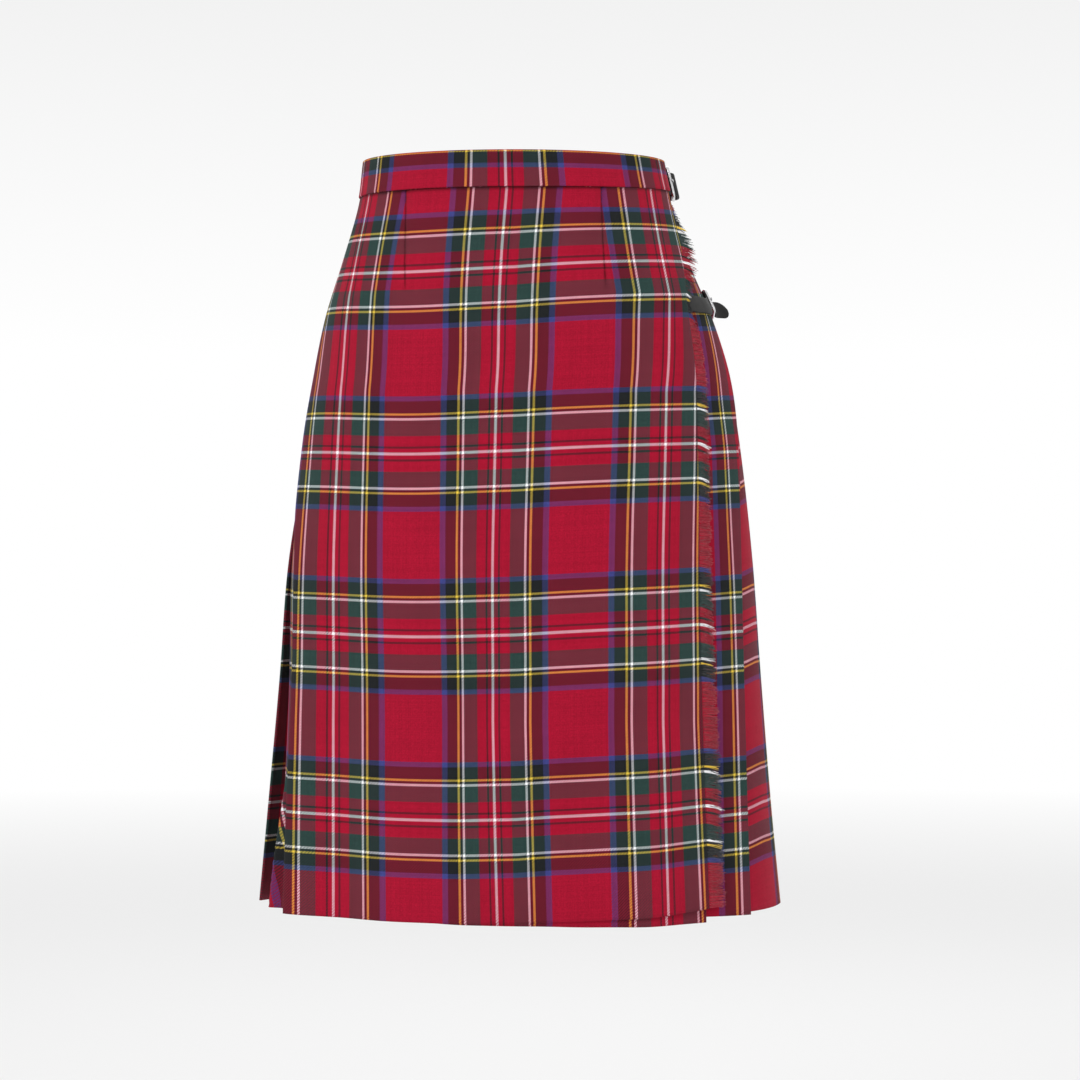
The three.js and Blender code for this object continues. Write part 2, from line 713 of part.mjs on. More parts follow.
// A ribbon of leather along a course. Each stop of the course gives a point for a height
// across the ribbon. The far end can be rounded, and cells in the middle can be left open.
const END_NARROWING = [0.97, 0.82, 0.5];
const SLOT_HALF = 1.95;

function ribbonGeometry(course, width, thickness, { rounded = false, openCells = [] }) {
  const heights = [width / 2, SLOT_HALF, -SLOT_HALF, -width / 2];
  const last = course.length - 1;
  const rows = heights.map((height) => course.map((stop, index) => {
    const fromEnd = last - index;
    const narrow = rounded && fromEnd < END_NARROWING.length;
    const share = narrow ? END_NARROWING[END_NARROWING.length - 1 - fromEnd] : 1;
    return stop(height * share);
  }));
  return wallGeometry(rows, thickness, openCells.map((index) => ({ row: 1, column: index })));
}

function buildStrap(fastening, frame) {
  const over = WRAP_OUTSIDE + SEAM_GAP + STRAP_LEATHER / 2;
  const under = BAR + 2 * SEAM_GAP + STRAP_LEATHER / 2;
  const onRing = ({ arc, lift }) => frame.onCloth(arc, () => lift);
  const inFrame = [
    frame.at(FRAME_LENGTH + 3, -under - 0.2),
    frame.at(FRAME_LENGTH - 1.8, -under),
    frame.at(FRAME_LENGTH - 5, -under + 1.4),
    frame.at(3, over - 0.2),
    frame.at(-3, over + 0.3),
  ];
  const course = [...fastening.lead.map(onRing), ...inFrame, ...fastening.tail.map(onRing)];
  const hole = fastening.lead.length + 2;
  const shape = { rounded: true, openCells: [hole] };
  const geometry = ribbonGeometry(course, fastening.width, STRAP_LEATHER, shape);
  addPiece(`${fastening.name}_strap`, geometry, BLACK_LEATHER, 0.45);
}

function buildTab(fastening, frame) {
  const layer = (extra) => (arc) => (
    frame.onCloth(arc, (_, z) => fastening.ground(arc, z) + SEAM_GAP + TAB_LEATHER / 2 + extra)
  );
  const lower = [...fastening.tabArcs].reverse().map(layer(0));
  const upper = fastening.tabArcs.map(layer(TAB_LEATHER + SEAM_GAP));
  const bend = [-90, -45, 0, 45, 90].map((degrees) => {
    const angle = THREE.MathUtils.degToRad(degrees);
    return frame.at(WRAP_MIDDLE * Math.cos(angle), WRAP_MIDDLE * Math.sin(angle));
  });
  const neck = [-1, 1].map((side) => frame.at(-WRAP_OUTSIDE - 0.9, side * WRAP_MIDDLE));
  const course = [...lower, neck[0], ...bend, neck[1], ...upper];
  const openCells = Array.from({ length: bend.length + 1 }, (_, index) => lower.length + index);
  const geometry = ribbonGeometry(course, fastening.width - TAB_NARROWER, TAB_LEATHER, { openCells });
  addPiece(`${fastening.name}_strap_tab`, geometry, BLACK_LEATHER, 0.45);
}

const FRAME_CORNER = 4.6;

function roundedBox(outline, halfLength, halfHeight, radius) {
  const corners = [[1, 1], [-1, 1], [-1, -1], [1, -1]];
  corners.forEach(([sideX, sideY], quarter) => {
    const from = (quarter * Math.PI) / 2;
    const x = FRAME_LENGTH / 2 + sideX * (halfLength - radius);
    outline.absarc(x, sideY * (halfHeight - radius), radius, from, from + Math.PI / 2);
  });
  return outline;
}

function buildBuckle(fastening, frame) {
  const halfLength = FRAME_LENGTH / 2 + BAR;
  const halfHeight = fastening.frameHeight / 2;
  const wire = 2 * BAR;
  const outline = roundedBox(new THREE.Shape(), halfLength, halfHeight, FRAME_CORNER);
  outline.holes.push(roundedBox(new THREE.Path(), halfLength - wire, halfHeight - wire, FRAME_CORNER - wire));
  const bevel = BAR * 0.4;
  const geometry = new THREE.ExtrudeGeometry(outline, {
    depth: 2 * (BAR - bevel),
    bevelThickness: bevel,
    bevelSize: bevel,
    bevelOffset: -bevel,
    bevelSegments: 1,
    curveSegments: 2,
  });
  geometry.translate(0, 0, -(BAR - bevel));
  geometry.rotateX(Math.PI / 2);
  geometry.applyMatrix4(frame.matrix);
  addPiece(`${fastening.name}_buckle`, geometry, NICKEL, 0.28, 1);
}

// The prong is cut from the side: a ring round the heel bar and a finger to the outer bar.
const PRONG_THICK = 1.2;
const PRONG_RING = WRAP_OUTSIDE - 0.3;

function buildProng(fastening, frame) {
  const rest = BAR + SEAM_GAP;
  const profile = new THREE.Shape();
  const ringStart = Math.PI * 0.3;
  const ringEnd = Math.PI * 2.06;
  profile.absarc(0, 0, PRONG_RING, ringStart, ringEnd, false);
  profile.lineTo(FRAME_LENGTH - 3, rest);
  profile.lineTo(FRAME_LENGTH + 1.2, rest);
  profile.lineTo(FRAME_LENGTH + 0.6, rest + PRONG_THICK * 0.8);
  profile.lineTo(FRAME_LENGTH - 3, rest + PRONG_THICK);
  profile.closePath();
  const ringHole = new THREE.Path();
  ringHole.absarc(0, 0, WRAP_INSIDE, 0, Math.PI * 2, true);
  profile.holes.push(ringHole);
  const geometry = new THREE.ExtrudeGeometry(profile, {
    depth: PRONG_WIDTH,
    bevelEnabled: false,
    curveSegments: 6,
  });
  geometry.translate(0, 0, -PRONG_WIDTH / 2);
  geometry.applyMatrix4(frame.matrix);
  addPiece(`${fastening.name}_buckle_prong`, geometry, NICKEL, 0.28, 1);
}

function buildFastening(fastening) {
  const frame = buckleFrame(fastening);
  buildStrap(fastening, frame);
  buildTab(fastening, frame);
  buildBuckle(fastening, frame);
  buildProng(fastening, frame);
}

// ------------------------------------------------------------------ the whole skirt

buildWaistband();
buildOverApron();
buildFringe();
buildUnderApron();
buildBackPleats();
FASTENINGS.forEach(buildFastening);

export default skirt;
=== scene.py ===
# %% [markdown]
# # A tartan wrap skirt, strapped at the wearer's left
# The skirt is one long length of wool. It starts as a flat under-apron, runs round the body in
# knife pleats and ends as a flat, fringed over-apron that crosses the front. The packed solids
# give every wall its place. Blender adds the woven cloth, the soft creases and the fittings.

# %% Load the frame
import math
import bpy
import numpy as np
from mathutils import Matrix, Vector


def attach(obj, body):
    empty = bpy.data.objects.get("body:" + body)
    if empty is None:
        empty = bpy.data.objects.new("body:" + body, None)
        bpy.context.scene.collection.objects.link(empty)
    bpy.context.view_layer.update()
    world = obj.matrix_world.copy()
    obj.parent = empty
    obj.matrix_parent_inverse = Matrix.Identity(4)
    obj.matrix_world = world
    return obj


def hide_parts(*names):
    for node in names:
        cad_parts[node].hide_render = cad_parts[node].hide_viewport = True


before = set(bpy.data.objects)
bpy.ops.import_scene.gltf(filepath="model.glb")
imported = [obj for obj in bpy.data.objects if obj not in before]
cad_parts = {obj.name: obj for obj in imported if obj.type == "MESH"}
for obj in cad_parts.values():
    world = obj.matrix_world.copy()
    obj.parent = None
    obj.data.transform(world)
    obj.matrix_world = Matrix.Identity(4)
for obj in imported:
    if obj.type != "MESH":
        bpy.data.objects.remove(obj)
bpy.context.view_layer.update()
MM = 0.001
print("nodes:", sorted(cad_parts))

# %% [markdown]
# ## Camera
# A skirt looks truest from level with its middle, and from far enough away that the hem and
# the waist keep their true widths. A long lens does that, with no tilt and no shift.

# %% Camera
CAMERA_PLACE = (0.0238, -2.650, -0.322)
LENS = 103.6

camera_data = bpy.data.cameras.new("camera")
camera_data.lens = LENS
camera_data.sensor_width = 36
camera = bpy.data.objects.new("camera", camera_data)
camera.location = CAMERA_PLACE
camera.rotation_euler = (math.radians(90), 0, 0)
bpy.context.collection.objects.link(camera)
bpy.context.scene.camera = camera
print("camera at", CAMERA_PLACE, "lens", LENS)

# %% [markdown]
# ## Small helpers
# A garment is a set of smooth curves read at many heights. The helpers work on whole arrays of
# points at once, because numpy is much faster than a loop over single points.

# %% Smooth curves
def smooth_step(start, end, value):
    share = np.clip((np.asarray(value, float) - start) / (end - start), 0, 1)
    return share * share * (3 - 2 * share)


def bump(distance, spread):
    return np.exp(-((distance / spread) ** 2))


def mix(a, b, share):
    return a + (b - a) * share


def hermite(low, high, low_slope, high_slope, t):
    """A cubic from low to high that leaves each end with its own slope."""
    return ((2 * t**3 - 3 * t**2 + 1) * low + (t**3 - 2 * t**2 + t) * low_slope
            + (3 * t**2 - 2 * t**3) * high + (t**3 - t**2) * high_slope)


def column(table, name, z):
    """One column of a table of heights, read smoothly between its rows."""
    heights = np.array(table["z"], float)
    values = np.array(table[name], float)
    slope = np.concatenate([
        [(values[1] - values[0]) / (heights[1] - heights[0])],
        (values[2:] - values[:-2]) / (heights[2:] - heights[:-2]),
        [(values[-1] - values[-2]) / (heights[-1] - heights[-2])],
    ])
    z = np.clip(z, heights[-1], heights[0])
    row = np.clip(np.searchsorted(-heights, -z, side="right") - 1, 0, len(heights) - 2)
    span = heights[row + 1] - heights[row]
    t = (z - heights[row]) / span
    return hermite(values[row], values[row + 1], span * slope[row], span * slope[row + 1], t)


print("a smooth step from 0 to 1 is", smooth_step(0, 1, 0.25), "a quarter of the way along")

# %% [markdown]
# ## The rings that the cloth follows
# A worn skirt is a tube whose section changes from a small oval waist to a wide, slightly
# square hem. Each ring is a superellipse. A place on the cloth is an arc, measured round the
# ring from the middle of the front towards the wearer's left, a height, and a lift off the
# ring. Two layers never meet while their lifts differ, which is why this way was chosen.

# %% Body rings, in millimetres
HEM = -631
UNDER_HEM = -634.5
BAND_HEIGHT = 31
SEAM_GAP = 0.3
CLOTH = 1.1
BAND_CLOTH = 2.4

RINGS = dict(
    z=[0, -36, -83, -134, -185, -237, -339, -441, -544, -640],
    middle=[0, 1, 2, 4.5, 7.5, 7, 5, 5.5, 5.5, 6],
    half_width=[121.6, 127, 141.2, 159.3, 172.7, 182, 193, 197.1, 202.8, 209.7],
    front=[84, 89, 99, 108, 116, 121, 128, 135, 141, 146],
    back=[90, 97, 110, 121, 129, 134, 141, 147, 152, 157],
    power=[2.0, 2.0, 2.05, 2.05, 2.1, 2.1, 2.1, 2.15, 2.2, 2.2],
)
LEVEL_STEP = 2.0
LEVELS_END = 643
LEVELS = -np.arange(0, LEVELS_END, LEVEL_STEP)
TURN_STEPS = 1024
RING_ANGLES = 1441


def even_ring(z):
    """Points spread evenly round one ring, from the middle of the front."""
    angle = np.linspace(0, 2 * np.pi, RING_ANGLES)
    sine, cosine = np.sin(angle), np.cos(angle)
    bend = 2 / column(RINGS, "power", z)
    depth = np.where(cosine > 0, column(RINGS, "front", z), column(RINGS, "back", z))
    x = column(RINGS, "half_width", z) * np.sign(sine) * np.abs(sine) ** bend
    x += column(RINGS, "middle", z)
    y = -depth * np.sign(cosine) * np.abs(cosine) ** bend
    lengths = np.concatenate([[0], np.cumsum(np.hypot(np.diff(x), np.diff(y)))])
    even = np.linspace(0, lengths[-1], TURN_STEPS + 1)
    return np.stack([np.interp(even, lengths, x), np.interp(even, lengths, y)], -1), lengths[-1]


ring_pairs = [even_ring(z) for z in LEVELS]
RING_POINTS = np.array([points for points, _ in ring_pairs])
AROUND = np.array([around for _, around in ring_pairs])
ring_steps = np.roll(RING_POINTS[:, :-1], -1, 1) - np.roll(RING_POINTS[:, :-1], 1, 1)
ring_steps = np.concatenate([ring_steps, ring_steps[:, :1]], 1)
ring_steps /= np.linalg.norm(ring_steps, axis=2, keepdims=True)
RING_OUT = np.stack([ring_steps[..., 1], -ring_steps[..., 0]], -1)
print(f"round the waist {AROUND[0]:.0f} mm, round the hem {AROUND[-1]:.0f} mm")

# %% Place a point of cloth
def around_at(z):
    return np.interp(-np.asarray(z, float), -LEVELS, AROUND)


def place(arc, z, lift):
    """Points in millimetres at an arc, a height and a lift off the ring."""
    arc, z, lift = np.broadcast_arrays(np.asarray(arc, float), z, lift)
    level = np.clip(-z / LEVEL_STEP, 0, len(LEVELS) - 1.001)
    upper = level.astype(int)
    down = (level - upper)[..., None]
    along = (arc / around_at(z)) % 1 * TURN_STEPS
    left = np.clip(along.astype(int), 0, TURN_STEPS - 1)
    right = (along - left)[..., None]

    def read(table):
        high = mix(table[upper, left], table[upper, left + 1], right)
        low = mix(table[upper + 1, left], table[upper + 1, left + 1], right)
        return mix(high, low, down)

    flat = read(RING_POINTS) + lift[..., None] * read(RING_OUT)
    return np.concatenate([flat, z[..., None]], -1)


print("middle of the front at the hem:", np.round(place(0, HEM, 0), 1))

# %% [markdown]
# ## How the layers hang
# The front hangs in a few long, soft folds that start below the hips. The knife pleats are
# pressed flat at the top and stand out more and more towards the hem. These few tables are
# the solids' own, so each piece of cloth lies on the wall it stands for. Only the over-apron's
# fold and the last pleat swing further, which a worn skirt's loose edges do.

# %% The lie of the cloth
PLEAT_LINES = dict(
    z=[0, -60, -120, -200, -320, -450, -640],
    apron_fold=[-181, -197, -212, -219, -219, -219, -219],
    first_fold=[181, 189, 202, 210, 205.5, 202.8, 200.6],
    free_edge=[152, 158.8, 150.8, 149.8, 152.3, 153.6, 159],
    underlay=[27, 31, 35, 38, 35, 31, 26],
    stand=[5.9, 6, 6.5, 7.1, 9, 12.5, 17],
    start=[0.3, 0.2, -0.1, -0.3, -1.2, -2.8, -4.8],
)
PLEAT_DRIFT = dict(
    along=[0, 3, -2, 2.5, -3, 1, 3.5, -2.5, 1],
    out=[0, 1.5, -2, 1, 2, -1.5, 0.5, -1, 2],
)
PLEATS = len(PLEAT_DRIFT["along"])
SOFT_FOLDS = dict(arc=[-150, -48, 22, 104], out=[-8, 4, -5, 7], spread=[34, 20, 26, 24])
SOFT_FOLD_TOP = -130
FREE_EDGE = 159
APRON_PULL_UP = 8
SEAM_PULL_UP = 5
APRON_FOLD_FLARE = 6
APRON_FLARE_TOP = -200
APRON_FLARE_SPREAD = 22
APRON_EDGE = dict(
    z=[0, -60, -120, -200, -290, -350, -640],
    arc=[-181, -197, -212, -219, -217, -209, -208.5],
)
APRON_RETURN = 34
LAST_FOLD = dict(z=[-440, -527, -590, -640], arc=[-216, -226, -243, -254], out=[0, 6, 9, 10])
FIXED_FRONT = 115
DART_ARCS = (-91.5, 73.5)
DART_END = -118
DART_DEPTH = 1.2
DART_HALF_WIDTH = 5
DART_SEAM_DEPTH = 0.8
DART_SEAM_WIDTH = 0.7
DART_FADE = 60
PUCKER_DEPTH = 0.22
PUCKER_PITCH = 2.6
PUCKER_SPREAD = 2.2
LAYER_STEP = 1.5
OVER_LIFTS = (3.9, 8.1)
OVER_LIFT_ARCS = (20, 128)
UNDER_LIFTS = (1.6, 4.0)
UNDER_LIFT_ARCS = (20, 120)
print(PLEATS, "knife pleats and", len(SOFT_FOLDS["arc"]), "soft folds")


# %% Folds and edges at any height
def soft_fold(arc, z):
    folds = zip(SOFT_FOLDS["arc"], SOFT_FOLDS["out"], SOFT_FOLDS["spread"])
    return smooth_step(SOFT_FOLD_TOP, HEM, z) * sum(out * bump(arc - at, wide) for at, out, wide in folds)


def apron_fold_at(z):
    return column(PLEAT_LINES, "apron_fold", z)


def apron_edge_at(z):
    """The over-apron's own fold. Its lower part has swung a little towards the front."""
    return column(APRON_EDGE, "arc", z)


def free_edge_at(z):
    return column(PLEAT_LINES, "free_edge", z)


def apron_arc(hem_arc, z):
    """Arcs beyond the fixed front follow the fold or the free edge, which come forward higher up."""
    hem_arc = np.asarray(hem_arc, float)
    left = (apron_edge_at(z) + FIXED_FRONT) / (apron_edge_at(HEM) + FIXED_FRONT)
    right = (free_edge_at(z) - FIXED_FRONT) / (FREE_EDGE - FIXED_FRONT)
    beyond = np.maximum(np.abs(hem_arc) - FIXED_FRONT, 0)
    return np.clip(hem_arc, -FIXED_FRONT, FIXED_FRONT) + np.sign(hem_arc) * beyond * np.where(
        hem_arc < 0, left, right)


def pull_up(arc):
    """The share of the pull of the strapped corner, from none at the middle of the front."""
    return np.clip(np.asarray(arc, float) / FREE_EDGE, 0, 1) ** 1.6


print("the free edge at the hem lies", round(float(free_edge_at(HEM))), "mm round from the middle")


# %% How far each apron stands off the ring
def over_lift(arc, z):
    base = mix(*OVER_LIFTS, smooth_step(*OVER_LIFT_ARCS, arc))
    darts = sum(bump(arc - at, DART_HALF_WIDTH) for at in DART_ARCS)
    groove = sum(bump(arc - at, DART_SEAM_WIDTH) for at in DART_ARCS)
    pucker = sum(bump(np.abs(arc - at) - PUCKER_PITCH, PUCKER_SPREAD) * np.sin(z / PUCKER_PITCH + at)
                 for at in DART_ARCS)
    near_fold = bump(arc - apron_edge_at(z), APRON_FLARE_SPREAD)
    flare = APRON_FOLD_FLARE * smooth_step(APRON_FLARE_TOP, HEM, z) * near_fold
    dart_fade = smooth_step(DART_END, DART_END + DART_FADE, z)
    seam = DART_DEPTH * darts + DART_SEAM_DEPTH * groove + PUCKER_DEPTH * pucker
    return base + soft_fold(arc, z) + flare - dart_fade * seam


def under_lift(arc, z):
    return mix(*UNDER_LIFTS, smooth_step(*UNDER_LIFT_ARCS, arc)) + soft_fold(arc, z)


apron_gap = float(over_lift(0, HEM) - under_lift(0, HEM))
print("gap between the aprons at the middle:", round(apron_gap, 1), "mm")

# %% [markdown]
# ## The weave under every point
# Tartan is woven, so its stripes are fixed to the threads and bend with the cloth. Each point
# of cloth therefore carries two numbers in a UV map: how far it is across the stripes of the
# warp, and how far down the stripes of the weft. The material reads the pattern from them, and
# a dart or a pulled-up edge moves the lines just as it does on the real skirt.

# %% Where the stripes run on the front
STRIPE_ACROSS = (-185, -140, -94, -45, 0, 45, 94, 140, 166.5, 180)
STRIPE_ARCS = {
    -118: (-211, -150.8, -105.5, -58.1, -12.7, 31.9, 81.4, 131, 157, 170),
    -200: (-219, -158.2, -112.3, -63.6, -19.2, 25.2, 74.5, 119.9, 147.5, 160.8),
    -470: (-217, -161.5, -108.4, -59.2, -19.7, 24.3, 72, 115.7, 145.3, 158.5),
    -640: (-213.5, -160.7, -107.2, -58.9, -16.3, 27.7, 74.7, 119.3, 150.9, 164.1),
}
DART_INTAKE = (7.5, 17.5)
TOP_LEAN = 8.5
WEFT_RISE = dict(
    z=[0, -31, -105, -200, -400, -640],
    free_edge=[5, 6, 9.5, 6.3, 7.2, 8.8],
    sag=[0, 1, 3.8, 4, 2.6, 0.6],
    lower=[0, 0, 0, 0.6, 0.6, -1.2],
)
SAG_ARC = -86
SAG_SPREAD = 76
print(len(STRIPE_ACROSS), "stripes placed at", len(STRIPE_ARCS), "heights")


# %% Stripe distances at any point of the front
def across_front(arc, z):
    """Millimetres across the warp stripes, from the middle stripe of the front."""
    heights = sorted(STRIPE_ARCS, reverse=True)
    z = np.asarray(z, float)
    at_heights = [np.interp(arc, STRIPE_ARCS[h], STRIPE_ACROSS) for h in heights]
    across = np.array(at_heights[0])
    for upper, lower, above, below in zip(heights, heights[1:], at_heights, at_heights[1:]):
        share = np.clip((upper - z) / (upper - lower), 0, 1)
        across = np.where(z < upper, mix(above, below, share), across)
    share = np.clip((z - DART_END) / (-BAND_HEIGHT - DART_END), 0, 1)
    left = (arc < DART_ARCS[0]) * DART_INTAKE[0]
    right = (arc > DART_ARCS[1]) * DART_INTAKE[1]
    return across + share * (right - left - TOP_LEAN)


def down_front(arc, z):
    """Millimetres down the weft stripes, measured at the middle of the front."""
    rise = column(WEFT_RISE, "free_edge", z) * np.clip(np.asarray(arc, float) / FREE_EDGE, 0, 1)
    sag = column(WEFT_RISE, "sag", z) * bump(arc - SAG_ARC, SAG_SPREAD)
    return rise - z - sag - column(WEFT_RISE, "lower", z)


print("half way down the free edge the weft is at", round(float(down_front(FREE_EDGE, HEM / 2)), 1), "mm")

# %% [markdown]
# ## Cloth as a thin shell
# Skirt wool is about a millimetre thick. A plane would show no edge at the hem and folds, and a
# modelled solid is heavy to shape. A grid of points for the middle of the cloth, made thick by a
# solidify modifier, keeps the points easy to place and still shows an edge.

# %% A mesh from points
def mesh_piece(name, vertices, faces, material, weave=None, smooth=True, shade=None):
    """A mesh object from points in millimetres. The weave is given in millimetres too."""
    mesh = bpy.data.meshes.new(name)
    mesh.from_pydata((np.asarray(vertices) * MM).tolist(), [], faces)
    if weave is not None:
        layer = mesh.uv_layers.new(name="weave")
        corners = np.empty(len(mesh.loops), dtype=np.int32)
        mesh.loops.foreach_get("vertex_index", corners)
        at_corners = np.asarray(weave, float)[corners] * MM
        layer.uv.foreach_set("vector", at_corners.astype(np.float32).ravel())
    if shade is not None:
        attribute = mesh.attributes.new("shade", "FLOAT", "POINT")
        attribute.data.foreach_set("value", shade.astype(np.float32).ravel())
    mesh.polygons.foreach_set("use_smooth", [smooth] * len(mesh.polygons))
    mesh.materials.append(material)
    piece = bpy.data.objects.new(name, mesh)
    bpy.context.collection.objects.link(piece)
    return piece


def grid_faces(rows, columns, closed=False):
    """Faces of a grid of points whose rows run down and whose columns run round."""
    top = np.arange(rows - 1)[:, None] * columns
    left = np.arange(columns if closed else columns - 1)[None, :]
    right = (left + 1) % columns
    quads = np.stack([top + left, top + columns + left, top + columns + right, top + right], -1)
    return quads.reshape(-1, 4).tolist()


def end_caps(rows, columns):
    """Faces that close the first and the last row of a tube of points."""
    first = list(range(columns))
    return [first, [(rows - 1) * columns + corner for corner in first][::-1]]


print("a grid of 3 x 3 points has", len(grid_faces(3, 3)), "faces")


# %% A sheet of cloth
def cloth_sheet(name, points, weave, thickness, material, shade=None):
    """A thin shell of cloth round a grid of middle points. Shade is painted shade that darkens the colour.
    """
    rows, columns = points.shape[:2]
    piece = mesh_piece(name, points.reshape(-1, 3), grid_faces(rows, columns), material,
                       weave.reshape(-1, 2), shade=shade)
    shell = piece.modifiers.new("thickness", "SOLIDIFY")
    shell.thickness = thickness * MM
    shell.offset = 0
    triangles = 4 * (rows - 1) * (columns - 1)
    print(f"{name}: {rows} x {columns} points, about {triangles} triangles")
    return piece


print("cloth", CLOTH, "mm thick, waistband", BAND_CLOTH, "mm")

# %% [markdown]
# ## The wool
# The cloth is a worsted 2/2 twill: each thread goes over two and under two, one step further
# on in each row, which draws fine diagonal lines. The stripes are a colour ramp read from the
# distance to the nearest turning stripe, because the pattern is mirrored there. Where warp and
# weft colours differ, the threads of both show side by side and the eye mixes them.

# %% Yarns of the tartan
YARN = dict(
    red=(0.620, 0.088, 0.188),
    green=(0.178, 0.258, 0.245),
    black=(0.138, 0.146, 0.150),
    blue=(0.245, 0.258, 0.490),
    white=(0.955, 0.955, 0.965),
    yellow=(0.890, 0.760, 0.270),
)
WARP_HALF = 70
WEFT_HALF = 75
WARP_STRIPES = (
    (0, "white"), (1.0, "red"), (4.3, "black"), (5.9, "red"), (13.8, "green"), (25.6, "white"),
    (27.4, "black"), (29.7, "yellow"), (31.5, "black"), (40.5, "blue"), (45.6, "red"),
)
WEFT_STRIPES = (
    (0, "white"), (1.0, "red"), (4.3, "black"), (5.9, "red"), (14.4, "green"), (27.5, "white"),
    (29.3, "black"), (31.5, "yellow"), (33.3, "black"), (43.2, "blue"), (47.2, "red"),
)
THREAD = 0.6
WARP_PIVOT = 0
WEFT_PIVOT = 97.5
print("tartan repeats every", 2 * WARP_HALF, "mm across and", 2 * WEFT_HALF, "mm down")


# %% A short way to join shader nodes
SCREEN_GAMMA = 2.2


class Nodes:
    """A short way to write a chain of shader nodes."""

    def __init__(self, name):
        self.material = bpy.data.materials.new(name)
        self.material.use_nodes = True
        self.tree = self.material.node_tree
        self.shader = self.tree.nodes["Principled BSDF"]

    def add(self, kind, inputs=None, **settings):
        node = self.tree.nodes.new(kind)
        for key, value in settings.items():
            setattr(node, key, value)
        for key, value in (inputs or {}).items():
            self.join(value, node.inputs[key])
        return node

    def join(self, value, socket):
        if isinstance(value, bpy.types.NodeSocket):
            self.tree.links.new(value, socket)
        else:
            socket.default_value = value

    def math(self, operation, *values):
        node = self.add("ShaderNodeMath", operation=operation)
        for value, socket in zip(values, node.inputs):
            self.join(value, socket)
        return node.outputs[0]

    def blend(self, share, a, b, how="MIX"):
        node = self.add("ShaderNodeMix", data_type="RGBA", blend_type=how)
        self.join(share, node.inputs[0])
        self.join(a, node.inputs[6])
        self.join(b, node.inputs[7])
        return node.outputs[2]

    def ramp(self, value, stops, interpolation="LINEAR"):
        node = self.add("ShaderNodeValToRGB", {"Fac": value})
        node.color_ramp.interpolation = interpolation
        elements = node.color_ramp.elements
        while len(elements) < len(stops):
            elements.new(1)
        for element, (position, color) in zip(elements, stops):
            element.position = position
            element.color = (*color, 1)
        return node.outputs[0]

    def toned(self, color, bright):
        """A colour as a screen shows it, made brighter or darker and turned into light."""
        grey = self.add("ShaderNodeCombineColor", {0: bright, 1: bright, 2: bright}).outputs[0]
        shaded = self.blend(1.0, color, grey, "MULTIPLY")
        return self.add("ShaderNodeGamma", {"Color": shaded, "Gamma": SCREEN_GAMMA}).outputs[0]

    def unevenness(self, noise, depth, bright):
        """Brightness with a noise laid over it, as far up as down."""
        centred = self.math("SUBTRACT", noise.outputs[0], 0.5)
        return self.math("MULTIPLY_ADD", centred, depth, bright)


print("helper ready:", Nodes.__doc__)


# %% Stripes from a distance
def stripes(nodes, distance, half, table):
    """The yarn colour at a distance across a mirrored set of stripes."""
    folded = nodes.math("PINGPONG", distance, half)
    share = nodes.math("DIVIDE", folded, half)
    stops = [(start / half, YARN[yarn]) for start, yarn in table]
    return nodes.ramp(share, stops, "CONSTANT")


print(len(WARP_STRIPES), "stripes to half a repeat of the warp")

# %% The woven cloth
TWILL_LEAST = 0.3
TWILL_CONTRAST = 0.4
YARN_DARKEST = 0.95
YARN_SPREAD = 0.05
CLOUD_DEPTH = 0.10
FUZZ_DEPTH = 0.3


